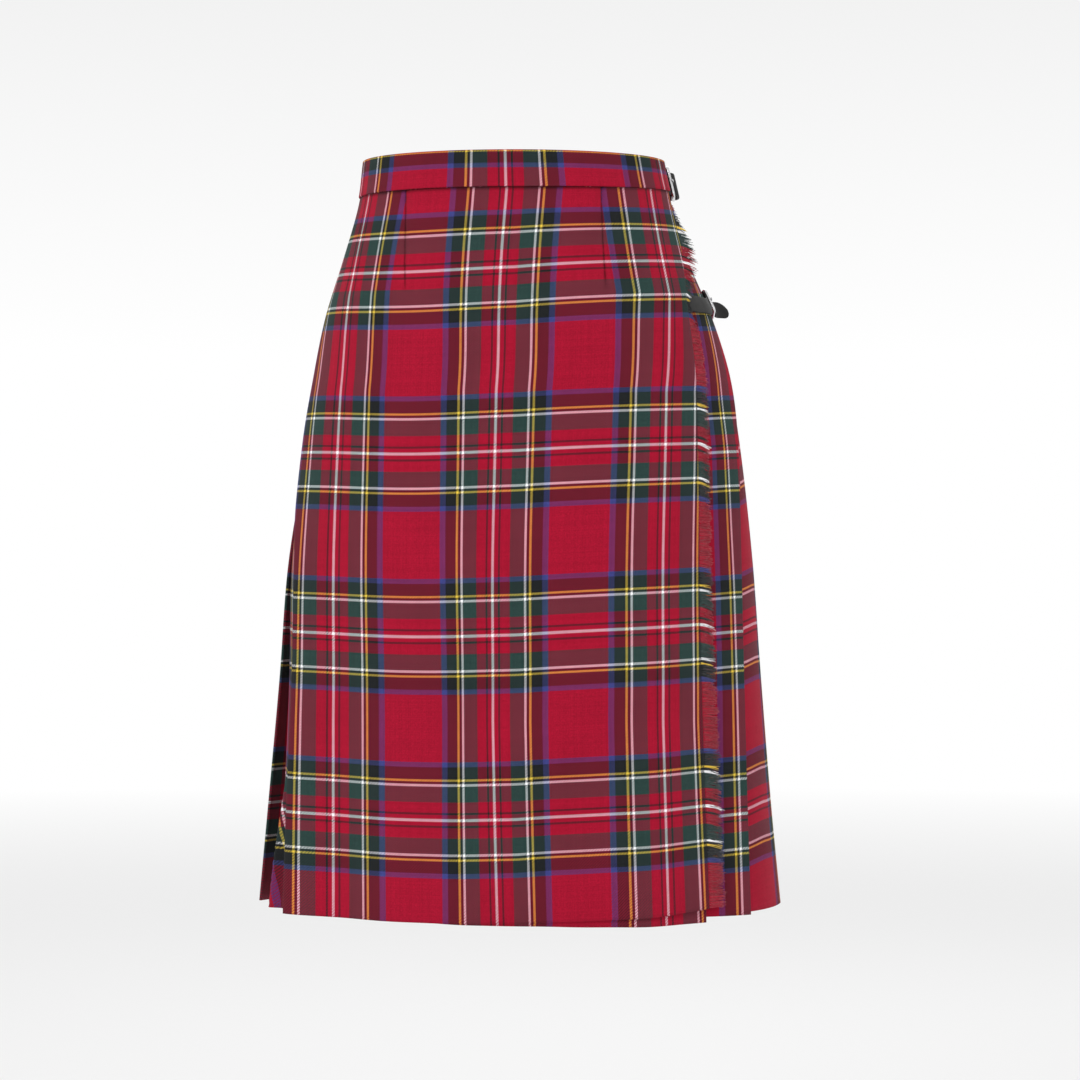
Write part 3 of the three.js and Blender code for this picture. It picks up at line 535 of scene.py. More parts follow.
def tartan_wool():
    nodes = Nodes("tartan wool")
    weave = nodes.add("ShaderNodeUVMap", uv_map="weave")
    parts = nodes.add("ShaderNodeSeparateXYZ", {0: weave.outputs[0]})
    across = nodes.math("MULTIPLY", parts.outputs[0], 1000)
    down = nodes.math("MULTIPLY", parts.outputs[1], 1000)
    warp_thread = nodes.math("FLOOR", nodes.math("DIVIDE", across, THREAD))
    weft_thread = nodes.math("FLOOR", nodes.math("DIVIDE", down, THREAD))
    warp = stripes(nodes, nodes.math("SUBTRACT", across, WARP_PIVOT), WARP_HALF, WARP_STRIPES)
    weft = stripes(nodes, nodes.math("SUBTRACT", down, WEFT_PIVOT), WEFT_HALF, WEFT_STRIPES)

    diagonal = nodes.math("FRACT", nodes.math("DIVIDE", nodes.math("ADD", warp_thread, weft_thread), 4))
    warp_on_top = nodes.math("LESS_THAN", diagonal, 0.5)
    share = nodes.math("MULTIPLY_ADD", warp_on_top, TWILL_CONTRAST, TWILL_LEAST)
    seen = nodes.blend(share, weft, warp)

    warp_tint = nodes.add("ShaderNodeTexWhiteNoise", {"W": warp_thread}, noise_dimensions="1D")
    weft_tint = nodes.add("ShaderNodeTexWhiteNoise", {"W": weft_thread}, noise_dimensions="1D")
    tint = nodes.math("ADD", warp_tint.outputs[0], weft_tint.outputs[0])
    spot = nodes.add("ShaderNodeTexCoord").outputs["Object"]
    cloud = nodes.add("ShaderNodeTexNoise", {"Vector": spot, "Scale": 26, "Detail": 3})
    fuzz = nodes.add("ShaderNodeTexNoise", {"Vector": spot, "Scale": 900, "Detail": 2})
    bright = nodes.math("MULTIPLY_ADD", tint, YARN_SPREAD, YARN_DARKEST)
    bright = nodes.unevenness(cloud, CLOUD_DEPTH, bright)
    bright = nodes.unevenness(fuzz, FUZZ_DEPTH, bright)
    # Painted shade from the shade attribute: the dart grooves and a shadow under the waistband.
    painted_shade = nodes.add("ShaderNodeAttribute", attribute_name="shade").outputs["Fac"]
    bright = nodes.math("MULTIPLY", bright, nodes.math("SUBTRACT", 1, painted_shade))
    nodes.join(nodes.toned(seen, bright), nodes.shader.inputs["Base Color"])

    def yarn_round(distance):
        inside = nodes.math("FRACT", nodes.math("DIVIDE", distance, THREAD))
        return nodes.math("SINE", nodes.math("MULTIPLY", inside, math.pi))

    warp_round, weft_round = yarn_round(across), yarn_round(down)
    height = nodes.math("ADD", nodes.math("MULTIPLY", warp_on_top, warp_round),
                        nodes.math("MULTIPLY", nodes.math("SUBTRACT", 1, warp_on_top), weft_round))
    relief = nodes.add("ShaderNodeBump", {"Strength": 0.35, "Distance": 0.00015, "Height": height})
    soft = nodes.add("ShaderNodeBump", {"Strength": 0.25, "Distance": 0.0006, "Height": fuzz.outputs[0],
                                        "Normal": relief.outputs[0]})
    nodes.join(soft.outputs[0], nodes.shader.inputs["Normal"])
    nodes.shader.inputs["Roughness"].default_value = 0.9
    nodes.shader.inputs["Specular IOR Level"].default_value = 0.10
    nodes.shader.inputs["Sheen Weight"].default_value = 0.04
    nodes.shader.inputs["Sheen Roughness"].default_value = 0.5
    return nodes.material


TARTAN = tartan_wool()
print("wool:", len(TARTAN.node_tree.nodes), "nodes, threads of", THREAD, "mm")

# %% [markdown]
# ## Over-apron
# The outermost panel is a flat rectangle. Its left edge folds under at the wearer's right hip,
# and two darts shape it to the waist. A grid is used, not a drape by simulation, because the
# panel is pressed and stitched at the top and hangs almost straight from there.

# %% Rows and columns of the over-apron
APRON_ROWS = 190
APRON_COLUMNS = 150
FOLD_RADIUS = 0.75
FOLD_STATIONS = 7
RETURN_COLUMNS = 9
RETURN_SINK = 3
DART_COLUMNS = 21
DART_SEAM_COLUMNS = (-0.7, -0.35, -0.05, 0.05, 0.35, 0.7)
# Painted shade along the dart grooves, and a painted shadow just under the waistband.
DART_SHADE_WIDTH = 0.75
DART_SHADE_DARK = 0.42
DART_SHADE_UNEVEN = 0.13
DART_SHADE_RIPPLE = 1.3
BAND_SHADOW_DARK = 0.28
BAND_SHADOW_WIDTH = 1.6


def spread_rows(top, hem, rows):
    """Heights of each row at each column, from its own top edge to its own hem."""
    return mix(top[None, :], hem[None, :], np.linspace(0, 1, rows)[:, None])


def apron_face_arcs(hem_fold):
    """Columns of the face, closer together at the darts."""
    beside = 2 * DART_HALF_WIDTH
    return np.unique(np.concatenate([
        np.linspace(hem_fold + 1, FREE_EDGE, APRON_COLUMNS),
        *[np.linspace(at - beside, at + beside, DART_COLUMNS) for at in DART_ARCS],
        *[[at + side for side in DART_SEAM_COLUMNS] for at in DART_ARCS],
    ]))


def painted_seam_shade(arc, z, top):
    """Painted shade: darker along the dart grooves, and a painted shadow just below the waistband."""
    darts = sum(bump(arc - at, DART_SHADE_WIDTH) for at in DART_ARCS)
    darts = darts * smooth_step(DART_END - 2, DART_END + 14, z)
    darts = darts * (DART_SHADE_DARK + DART_SHADE_UNEVEN * np.sin(z / DART_SHADE_RIPPLE))
    return darts + BAND_SHADOW_DARK * bump(z - top, BAND_SHADOW_WIDTH)


print("over-apron face:", len(apron_face_arcs(apron_edge_at(HEM))), "columns,", APRON_ROWS, "rows")


# %% Over-apron
def over_apron_grid():
    bend = np.radians(np.linspace(-90, 90, FOLD_STATIONS))[1:-1]
    flat_part = slice(0, RETURN_COLUMNS)
    inward = np.concatenate([
        np.linspace(APRON_RETURN, 2, RETURN_COLUMNS), FOLD_RADIUS * (1 - np.cos(bend)),
    ])
    sunk = np.concatenate([
        np.full(RETURN_COLUMNS, -2 * FOLD_RADIUS - 0.1), FOLD_RADIUS * (np.sin(bend) - 1),
    ])
    hem_fold = apron_edge_at(HEM)
    face = apron_face_arcs(hem_fold)
    turned = len(inward)
    hem_arc = np.concatenate([np.full(turned, hem_fold), face])
    top = -BAND_HEIGHT - SEAM_GAP + SEAM_PULL_UP * pull_up(apron_arc(hem_arc, -BAND_HEIGHT))
    hem = HEM + APRON_PULL_UP * pull_up(hem_arc)
    hem[flat_part] += 1
    z = spread_rows(top, hem, APRON_ROWS)
    arc = np.concatenate([apron_edge_at(z[:, :turned]) + inward, apron_arc(face, z[:, turned:])], 1)
    lift = over_lift(arc, z)
    lift[:, :turned] += sunk
    hanging = smooth_step(APRON_FLARE_TOP, HEM, z[:, flat_part])
    lift[:, flat_part] -= RETURN_SINK * hanging * (inward[flat_part] / APRON_RETURN)
    across = across_front(arc, z)
    folded_back = 2 * across_front(apron_edge_at(z[:, :turned]), z[:, :turned]) - across[:, :turned]
    across[:, flat_part] = folded_back[:, flat_part]
    weave = np.stack([across, down_front(arc, z)], -1)
    return place(arc, z, lift), weave, painted_seam_shade(arc, z, top)


points, weave, painted_shade = over_apron_grid()
over_apron = cloth_sheet("over_apron_cloth", points, weave, CLOTH, TARTAN, painted_shade)

# %% [markdown]
# ## Under-apron
# Only its hem shows below the over-apron, but the inside of the skirt shows it from above and
# below, so it is made whole. Its edge folds under at the wearer's left hip. It could be a copy
# of the over-apron, but it has no darts and no fringe, so a grid of its own is simpler.

# %% Under-apron
UNDER_END = -150
UNDER_FOLD = 158.5
UNDER_HEM_RISE = 5
UNDER_RISE_ARCS = (-150, 60)
UNDER_WEFT_DROP = 3
UNDER_RETURN = 28
UNDER_COLUMNS = 84
UNDER_ROWS = 110
UNDER_RETURN_COLUMNS = 8
RETURN_ABOVE_PLEAT = 2.4


def under_apron_grid():
    bend = np.radians(np.linspace(90, -90, FOLD_STATIONS))[1:-1]
    face = np.linspace(UNDER_END, UNDER_FOLD - 1, UNDER_COLUMNS)
    inward = np.concatenate([
        FOLD_RADIUS * (1 - np.cos(bend)), np.linspace(2, UNDER_RETURN, UNDER_RETURN_COLUMNS),
    ])
    arc = np.concatenate([face, UNDER_FOLD - inward])
    hem = UNDER_HEM + UNDER_HEM_RISE * (1 - smooth_step(*UNDER_RISE_ARCS, arc))
    z = spread_rows(np.full(len(arc), -BAND_HEIGHT - SEAM_GAP), hem, UNDER_ROWS)
    arc = np.broadcast_to(arc, z.shape)
    lift = under_lift(arc, z)
    start, end = len(face), len(face) + len(bend)
    lift[:, start:end] += FOLD_RADIUS * (np.sin(bend) - 1)
    share = inward[len(bend):] / UNDER_RETURN
    inside = column(PLEAT_LINES, "start", z[:, end:]) + soft_fold(arc[:, end:], z[:, end:])
    inside += RETURN_ABOVE_PLEAT
    lift[:, end:] = mix(lift[:, end:] - 2 * FOLD_RADIUS, inside, share)
    across = np.array(across_front(arc, np.minimum(z, DART_END)))
    across[:, end:] = 2 * across[:, end - 1:end] - across[:, end:]
    weave = np.stack([across, np.broadcast_to(UNDER_WEFT_DROP - z, z.shape)], -1)
    return place(arc, z, lift), weave


under_apron = cloth_sheet("under_apron_cloth", *under_apron_grid(), CLOTH, TARTAN)

# %% [markdown]
# ## Knife pleats
# The length round the back is folded into knife pleats that all turn one way, each taking one
# whole repeat of the tartan, so the same stripe runs down every fold. The path of the cloth is
# followed pleat by pleat: out along the face, round the fold, back under it, and on.

# %% Where each pleat folds
PLEAT_REPEAT = 2 * WARP_HALF
STRIPE_AT_FIRST_FOLD = dict(
    z=[0, -120, -200, -250, -370, -640],
    across=[-20, -14, -5, -10, -17.5, -19.5],
)
STRIPE_AT_FOLD = -25
LAST_UNDERLAY_EXTRA = 15
SECOND_PLEAT_SINK = 3
PLEAT_DRIFT_TOP = -150
PLEAT_ROWS = 96
FACE_COLUMNS = 16
UNDERLAY_COLUMNS = 4
BACK_COLUMNS = 8
LAST_PANEL_COLUMNS = 72
LAST_FOLD_SPREAD = 5


def fold_arc(pleat, z):
    first = column(PLEAT_LINES, "first_fold", z)
    pitch = (around_at(z) + apron_fold_at(z) - first) / PLEATS
    drift = PLEAT_DRIFT["along"][pleat] if pleat < PLEATS else 0
    return first + pitch * pleat + drift * smooth_step(PLEAT_DRIFT_TOP, HEM, z)


def start_lift(pleat, z):
    """The second pleat starts lower, inside the turned edge of the under-apron."""
    return column(PLEAT_LINES, "start", z) - (SECOND_PLEAT_SINK if pleat == 1 else 0)


def pleat_arcs(pleat, z):
    fold = fold_arc(pleat, z)
    underlay = column(PLEAT_LINES, "underlay", z)
    before = np.full_like(z, UNDER_FOLD + 2) if pleat == 0 else fold_arc(pleat - 1, z)
    first_underlay = np.minimum(underlay, fold_arc(0, z) - UNDER_FOLD - 5)
    hidden = {0: np.full_like(z, UNDER_RETURN + 2), 1: first_underlay}.get(pleat, underlay)
    return before, hidden, fold, first_underlay if pleat == 0 else underlay


def pleat_lift(pleat, arc, z):
    before, hidden, fold, _ = pleat_arcs(pleat, z)
    start = start_lift(pleat, z)
    if pleat == PLEATS:
        return start
    stand = column(PLEAT_LINES, "stand", z)
    stand = stand + PLEAT_DRIFT["out"][pleat] * smooth_step(PLEAT_DRIFT_TOP, HEM, z)
    rise_from = before if pleat == 0 else before - hidden
    top = column(PLEAT_LINES, "start", z) + stand
    return mix(start, top, np.clip((arc - rise_from) / (fold - rise_from), 0, 1))


hem_level = np.array([[float(HEM)]])
hem_folds = [float(fold_arc(pleat, hem_level)[0, 0]) for pleat in range(PLEATS)]
print("folds at the hem, round from the front:", np.round(hem_folds))


# %% The columns of one pleat
def last_panel_columns(z):
    """The panel that runs on under the over-apron, with one loose fold near the hem."""
    before, hidden, _, underlay = pleat_arcs(PLEATS, z)
    shares = np.linspace(0, 1, LAST_PANEL_COLUMNS)
    arcs = mix(before - hidden, fold_arc(PLEATS, z) + APRON_RETURN, shares)
    turned_at = PLEAT_REPEAT * (PLEATS - 1) + STRIPE_AT_FOLD + underlay
    turned_at = turned_at + LAST_UNDERLAY_EXTRA * smooth_step(0, 0.2, shares)
    from_fold = arcs - around_at(z) - column(LAST_FOLD, "arc", z)
    lifts = start_lift(PLEATS, z) + column(LAST_FOLD, "out", z) * bump(from_fold, LAST_FOLD_SPREAD)
    return arcs, lifts, turned_at + (arcs - before + hidden)


def pleat_columns(pleat, z):
    """Arc, lift and distance across the stripes for each column of one pleat, at heights z."""
    if pleat == PLEATS:
        return last_panel_columns(z)
    before, hidden, fold, underlay = pleat_arcs(pleat, z)
    next_start = start_lift(pleat + 1, z)
    at_fold = PLEAT_REPEAT * pleat + STRIPE_AT_FOLD
    if pleat == 0:
        at_fold = column(STRIPE_AT_FIRST_FOLD, "across", z)
    outer = fold - 1
    face_arcs = np.concatenate([
        mix(before - hidden, before, np.linspace(0, 1, UNDERLAY_COLUMNS + 1)[:-1]),
        mix(before, outer, np.linspace(0, 1, FACE_COLUMNS)),
    ], 1)
    face_lift = pleat_lift(pleat, face_arcs, z)
    fold_lift = pleat_lift(pleat, fold, z)
    bend = np.radians([60, 30, 0, -30, -60])
    tip_arcs = fold - FOLD_RADIUS * (1 - np.cos(bend))
    tip_lift = fold_lift + FOLD_RADIUS * (np.sin(bend) - 1)
    back = np.linspace(0, 1, BACK_COLUMNS)
    back_arcs = mix(fold - 1.2, fold - underlay + 1, back)
    back_lift = mix(fold_lift - LAYER_STEP, next_start + LAYER_STEP + 0.1, back)
    turn_arcs = fold - underlay - 0.4 + 0 * z
    turn_lift = next_start + LAYER_STEP / 2 + 0.05
    arcs = np.concatenate([face_arcs, tip_arcs, back_arcs, turn_arcs], 1)
    lifts = np.concatenate([face_lift, tip_lift, back_lift, turn_lift], 1)
    across = np.concatenate([
        at_fold - (fold - face_arcs), at_fold + 0 * tip_arcs,
        at_fold + (fold - back_arcs), at_fold + underlay,
    ], 1)
    return arcs, lifts, across


print("columns in one pleat:", pleat_columns(2, hem_level)[0].shape[1])

# %% All the pleats
PLEAT_RISE = (2.5, 5.5)
RISE_ARCS = ((150, 205), (200, 250))
FIRST_PLEAT_RISE = -3
BACK_RISE_LOST = 5
BACK_ARCS = (300, 700)


def back_pleats_grid():
    heights = np.linspace(-BAND_HEIGHT - SEAM_GAP, HEM, PLEAT_ROWS)[:, None]
    columns = [pleat_columns(pleat, heights) for pleat in range(PLEATS + 1)]
    arc, lift, across = (np.concatenate(part, 1) for part in zip(*columns))
    z = np.broadcast_to(heights, arc.shape)
    fold_side = sum(smooth_step(*arcs, arc) * rise for arcs, rise in zip(RISE_ARCS, PLEAT_RISE))
    rise = FIRST_PLEAT_RISE + fold_side - BACK_RISE_LOST * smooth_step(*BACK_ARCS, arc)
    weave = np.stack([across, rise - z], -1)
    return place(arc, z, lift + soft_fold(arc, z)), weave


back_pleats = cloth_sheet("back_pleats_cloth", *back_pleats_grid(), CLOTH, TARTAN)

# %% [markdown]
# ## Waistband
# A waistband is a strip of the same cloth, folded in half over a stiffener and sewn on. Its
# section is a closed loop with soft folds at the top and bottom. Sweeping that loop along the
# band's course gives the rounded edges that a flat strip would lack.

# %% The course of the waistband
BAND_COURSE = dict(
    arc=[-820, -600, -520, -420, -260, -180, -100, 0, 60, 128, 152.5],
    lift=[2.2, 2.2, 2.6, 3.4, 3.6, 4.2, 5, 5.2, 6, 7.5, 7.7],
)
BAND_ACROSS_PIVOT = -4.8
BAND_TOP_STRIPE = WEFT_PIVOT - 2 * WEFT_HALF + 32.3
BAND_EASE = 0.99
BAND_COLUMNS = 460
BAND_SIDE_POINTS = 9
BAND_ROUNDING = 0.6
print("waistband runs", BAND_COURSE["arc"][-1] - BAND_COURSE["arc"][0], "mm round, with its overlap")


def band_across(arcs):
    """Millimetres across the warp stripes of the band."""
    return (arcs - BAND_ACROSS_PIVOT) * BAND_EASE


# %% Waistband
def band_grid():
    arcs = np.linspace(BAND_COURSE["arc"][0], BAND_COURSE["arc"][-1], BAND_COLUMNS)
    half = BAND_CLOTH / 2
    side = np.linspace(0, 1, BAND_SIDE_POINTS)
    round_end = np.radians([-60, -30, 0, 30, 60])
    level = np.concatenate([side, 1 + 0 * round_end, side[::-1], 0 * round_end])
    bulge = BAND_ROUNDING * half * np.cos(round_end)
    extra = np.concatenate([0 * side, bulge, 0 * side, -bulge])
    out = np.concatenate([
        half + 0 * side, -half * np.sin(round_end), -half + 0 * side, half * np.sin(round_end),
    ])
    girth = np.cumsum(np.concatenate([[0], np.hypot(np.diff(level * BAND_HEIGHT + extra), np.diff(out))]))
    spread = around_at(-BAND_HEIGHT * level)[:, None] / around_at(0)
    low = -BAND_HEIGHT + SEAM_PULL_UP * pull_up(arcs * around_at(-BAND_HEIGHT) / around_at(0))
    lift = np.interp(arcs, BAND_COURSE["arc"], BAND_COURSE["lift"]) + out[:, None]
    flat = place(arcs * spread, -BAND_HEIGHT * level[:, None] + 0 * arcs, lift)
    inset = BAND_ROUNDING * half
    flat[..., 2] = mix(-inset, low + inset, level[:, None]) - extra[:, None]
    across = np.broadcast_to(band_across(arcs), (len(level), len(arcs)))
    down = np.broadcast_to((BAND_TOP_STRIPE + girth)[:, None], across.shape)
    return flat, np.stack([across, down], -1)


def waistband_piece():
    points, weave = band_grid()
    rows, columns = points.shape[:2]
    points = np.concatenate([points, points[:1]])
    weave = np.concatenate([weave, weave[-1:] + [0, 1.2]])
    start = [row * columns for row in range(rows)]
    ends = [start[::-1], [corner + columns - 1 for corner in start]]
    faces = grid_faces(rows + 1, columns) + ends
    return mesh_piece("waistband_cloth", points.reshape(-1, 3), faces, TARTAN, weave.reshape(-1, 2))


waistband = waistband_piece()
print("waistband:", len(waistband.data.polygons), "faces")

# %% [markdown]
# ## Facing inside the waistband
# The band's seam allowance is pressed down inside and covers the raw top of the pleats. Without
# it, light would come through between the band and the cloth. A lining would hide more, but
# a narrow strip is all that this seam needs.

# %% Facing
FACING_CLOTH = 0.5
FACING_COLUMNS = 260
FACING_LIFT = -1.7
FACING_LEVELS = np.array([-27.5, -30, -33, -37, -41])[:, None]
FACING_SHARES = np.array([0.05, 0.5, 0.92, 1, 1])[:, None]


def waistband_facing():
    arcs = np.linspace(BAND_COURSE["arc"][0], BAND_COURSE["arc"][0] + around_at(0), FACING_COLUMNS)
    z = FACING_LEVELS + 0 * arcs
    inner = np.interp(arcs, BAND_COURSE["arc"], BAND_COURSE["lift"]) - BAND_CLOTH / 2
    lift = mix(inner, FACING_LIFT, FACING_SHARES)
    spread = around_at(z) / around_at(0)
    weave = np.stack([np.broadcast_to(band_across(arcs), z.shape), -z], -1)
    return cloth_sheet("waistband_facing", place(arcs * spread, z, lift), weave, FACING_CLOTH, TARTAN)


facing = waistband_facing()

# %% [markdown]
# ## Fringe
# The over-apron's free edge is not hemmed. Its warp is drawn out for a finger's breadth and the
# weft threads are left hanging, so each thread keeps the colour that the weft has at its height.
# A particle system would scatter them. Here every thread is a thin tube along its own short
# curve, rooted in the cloth's edge, because then neighbours stay in order and lie in tufts.

# %% How long the fringe is
FRINGE_TOP = -38
FRINGE_STRIP = 1.8
FRINGE_LENGTHS = dict(
    z=[-36, -56, -75, -96, -112, -130, -150, -250, -400, -480, -640],
    length=[2, 7.5, 9.5, 9, 3.5, 3, 9.5, 10.5, 12, 14, 14],
)
FRINGE_CURL = 5.5
FRINGE_CURL_HEIGHT = -75
FRINGE_CURL_SPREAD = 28
FRINGE_THREADS = 2600
FRINGE_THREAD_RADIUS = 0.34
FRINGE_STATIONS = 7
FRINGE_CORNERS = 3
FRINGE_SCATTER = 0.35
FRINGE_MOST_DROP = 2.4
WORN_PART = (-170, -110)
RAGGED_LEAST = 0.05
RAGGED_WORN = 0.13
RANDOM = np.random.default_rng(11)
print("longest thread", max(FRINGE_LENGTHS["length"]) + FRINGE_STRIP, "mm")

# %% Fringe yarn
FRINGE_DARKEST = 0.98
FRINGE_SPREAD = 0.24
FRINGE_FUZZ_DEPTH = 0.4
TINTS_TO_A_MM = 3


def yarn_fringe():
    nodes = Nodes("fringe yarn")
    weave = nodes.add("ShaderNodeUVMap", uv_map="weave")
    parts = nodes.add("ShaderNodeSeparateXYZ", {0: weave.outputs[0]})
    down = nodes.math("MULTIPLY", parts.outputs[1], 1000)
    color = stripes(nodes, nodes.math("SUBTRACT", down, WEFT_PIVOT), WEFT_HALF, WEFT_STRIPES)
    spot = nodes.add("ShaderNodeTexCoord").outputs["Object"]
    thread = nodes.math("FLOOR", nodes.math("MULTIPLY", down, TINTS_TO_A_MM))
    tint = nodes.add("ShaderNodeTexWhiteNoise", {"W": thread}, noise_dimensions="1D")
    fuzz = nodes.add("ShaderNodeTexNoise", {"Vector": spot, "Scale": 1400, "Detail": 3})
    bright = nodes.math("MULTIPLY_ADD", tint.outputs[0], FRINGE_SPREAD, FRINGE_DARKEST)
    bright = nodes.unevenness(fuzz, FRINGE_FUZZ_DEPTH, bright)
    nodes.join(nodes.toned(color, bright), nodes.shader.inputs["Base Color"])
    relief = nodes.add("ShaderNodeBump", {"Strength": 0.5, "Distance": 0.0002, "Height": fuzz.outputs[0]})
    nodes.join(relief.outputs[0], nodes.shader.inputs["Normal"])
    nodes.shader.inputs["Roughness"].default_value = 0.9
    nodes.shader.inputs["Specular IOR Level"].default_value = 0.2
    nodes.shader.inputs["Sheen Weight"].default_value = 0.2
    return nodes.material


FRINGE_YARN = yarn_fringe()
print("fringe yarn:", len(FRINGE_YARN.node_tree.nodes), "nodes")


# %% Thin tubes
def tubes(centres, side_a, side_b, radius, sides):
    """Closed tubes round many curves at once. centres is threads x stations x 3."""
    threads, stations = centres.shape[:2]
    turn = np.arange(sides) * 2 * np.pi / sides
    ring = (side_a[..., None, :] * np.cos(turn)[:, None] + side_b[..., None, :] * np.sin(turn)[:, None])
    points = centres[..., None, :] + radius[..., None, None] * ring
    thread = np.arange(threads)[:, None, None] * stations * sides
    station = np.arange(stations - 1)[None, :, None] * sides
    corner = np.arange(sides)[None, None, :]
    following = (corner + 1) % sides
    base = thread + station
    quads = np.stack([base + corner, base + following, base + sides + following, base + sides + corner], -1)
    first = thread[:, 0] + np.arange(sides)[None, ::-1]
    last = thread[:, 0] + (stations - 1) * sides + np.arange(sides)[None, :]
    faces = quads.reshape(-1, 4).tolist() + first.tolist() + last.tolist()
    return points.reshape(-1, 3), faces


print("a thread has", FRINGE_CORNERS * (FRINGE_STATIONS - 1) + 2, "faces")


# %% Threads of the fringe
def thread_lengths(root, scatter):
    """Lengths of the threads. They are the most ragged above the hip strap."""
    ragged = RAGGED_LEAST + RAGGED_WORN * smooth_step(*WORN_PART, root)
    waves = np.sin(root / 1.9) * np.sin(root / 5.3)
    even = column(FRINGE_LENGTHS, "length", root) + FRINGE_STRIP
    return even * (1 + (RAGGED_LEAST + ragged) * scatter + 2 * ragged * waves)


def thread_drops(root, length):
    """How far each thread sinks at its tip. Neighbours sink together, in tufts."""
    tuft = np.sin(root / 1.7) + 0.7 * np.sin(root / 4.3 + 1)
    drop = np.minimum(0.2 * length, FRINGE_MOST_DROP) + 1.4 * np.sin(root / 23) + 0.45 * tuft
    return drop + 0.4 * RANDOM.normal(size=root.shape)


def fringe_piece():
    root = np.linspace(FRINGE_TOP, HEM + APRON_PULL_UP + 1, FRINGE_THREADS)[:, None]
    root = root + RANDOM.uniform(-FRINGE_SCATTER, FRINGE_SCATTER, root.shape)
    scatter = RANDOM.normal(size=root.shape).clip(-2, 2)
    length = thread_lengths(root, scatter)
    drop = thread_drops(root, length)
    curl = FRINGE_CURL * bump(root - FRINGE_CURL_HEIGHT, FRINGE_CURL_SPREAD) * (1 + 0.3 * scatter)
    layer = RANDOM.uniform(-0.55, 0.55, root.shape)
    wave = RANDOM.uniform(0, 2 * np.pi, root.shape)
    along = np.linspace(0, 1, FRINGE_STATIONS)[None, :]
    edge = free_edge_at(root)
    arc = edge - 0.8 + (length + 0.8) * along
    z = root - drop * along**1.7 + 0.25 * np.sin(wave + 5 * along)
    lift = over_lift(edge, root) + layer * (0.5 + along) + curl * along**1.4 - 0.8 * along**2
    centres = place(arc, z, lift)
    outwards = place(arc, z, lift + 1) - centres
    upwards = np.zeros_like(centres)
    upwards[..., 2] = 1
    radius = FRINGE_THREAD_RADIUS * (1 - 0.45 * along**3) * RANDOM.uniform(0.8, 1.15, root.shape)
    points, faces = tubes(centres, outwards, upwards, radius, FRINGE_CORNERS)
    down = np.repeat(down_front(edge, root), FRINGE_CORNERS * FRINGE_STATIONS, 1).reshape(-1)
    weave = np.stack([np.zeros_like(down), down], -1)
    return mesh_piece("over_apron_fringe_threads", points, faces, FRINGE_YARN, weave)


fringe = fringe_piece()
print("fringe:", FRINGE_THREADS, "threads,", len(fringe.data.polygons), "faces")

# %% [markdown]
# ## Straps and buckles
# Two leather straps are sewn inside the over-apron's edge. Each goes under the outer bar of its
# buckle and over the heel bar, and the prong comes up through a hole. A strap is a ribbon swept
# along a short course of points, and each buckle has its own small frame: t runs from the heel
# bar to the outer bar, v up the cloth and n outwards. That keeps leather and metal together.

# %% Sizes of the fastenings
STRAP_LEATHER = 1.8
TAB_LEATHER = 1.4
BAR = 1.4
FRAME_LENGTH = 16
FRAME_CORNER = 4.6
TAB_NARROWER = 4
WRAP_INSIDE = BAR * 1.2 + SEAM_GAP
WRAP_MIDDLE = WRAP_INSIDE + TAB_LEATHER / 2
WRAP_OUTSIDE = WRAP_INSIDE + TAB_LEATHER

FASTENINGS = dict(
    waist=dict(
        z=-19.5, width=21, frame_height=28, heel=(180, 12.4), outer=(165, 11),
        lead=[(130, 5.2), (144, 5.2), (152, 5.2), (158, 5.4)],
        tail=[(189, 18.6), (196, 15.6), (203, 13), (210, 11.2)],
        tab_arcs=(192, 199, 207),
    ),
    hip=dict(
        z=-124, width=16.8, frame_height=24, heel=(222, 8), outer=(206, 11.2),
        lead=[(128, 5.85), (141, 5.85), (157, 5.85), (166, 5.4), (176, 5.6), (186, 6.9), (195, 8.2)],
        tail=[(228, 14.2), (231, 18), (233, 23.5), (234, 29.5)],
        tab_arcs=(231, 239, 248),
    ),
)
print("strap widths:", [parts["width"] for parts in FASTENINGS.values()], "mm")


# %% A buckle's own axes
def ground_lift(name, arc, z):
    """How high the cloth under a tab stands."""
    if name == "waist":
        under = np.interp(arc - around_at(z), BAND_COURSE["arc"], BAND_COURSE["lift"])
        return float(under) + BAND_CLOTH / 2 + SEAM_GAP
    level = np.array([[float(z)]])
    return float(pleat_lift(1, np.array([[float(arc)]]), level)[0, 0]) + CLOTH / 2


def unit(vector):
    return vector / np.linalg.norm(vector)


class BuckleFrame:
    """A buckle's own axes, with its heel bar as the origin."""

    def __init__(self, parts):
        self.z = parts["z"]
        heel, outer = parts["heel"], parts["outer"]
        self.origin = place(heel[0], self.z, heel[1])
        self.v = unit(place(heel[0], self.z + 8, heel[1]) - place(heel[0], self.z - 8, heel[1]))
        t = place(outer[0], self.z, outer[1]) - self.origin
        self.t = unit(t - t.dot(self.v) * self.v)
        self.n = np.cross(self.v, self.t)

    def at(self, along, out, height):
        return self.origin + along * self.t + out * self.n + height * self.v

    def on_cloth(self, arc, lift, height):
        return place(arc, self.z + height * self.v[2], lift)


print("the waist buckle faces", np.round(BuckleFrame(FASTENINGS["waist"]).n, 2))

# %% [markdown]
# ## Leather and nickel
# The straps are black hide with a fine pebbled grain and little shine, and the buckles are cast
# metal with bright nickel on it. Both are procedural: a cell pattern lifts the grain, and a soft
# noise varies the shine, so that neither looks like moulded plastic.

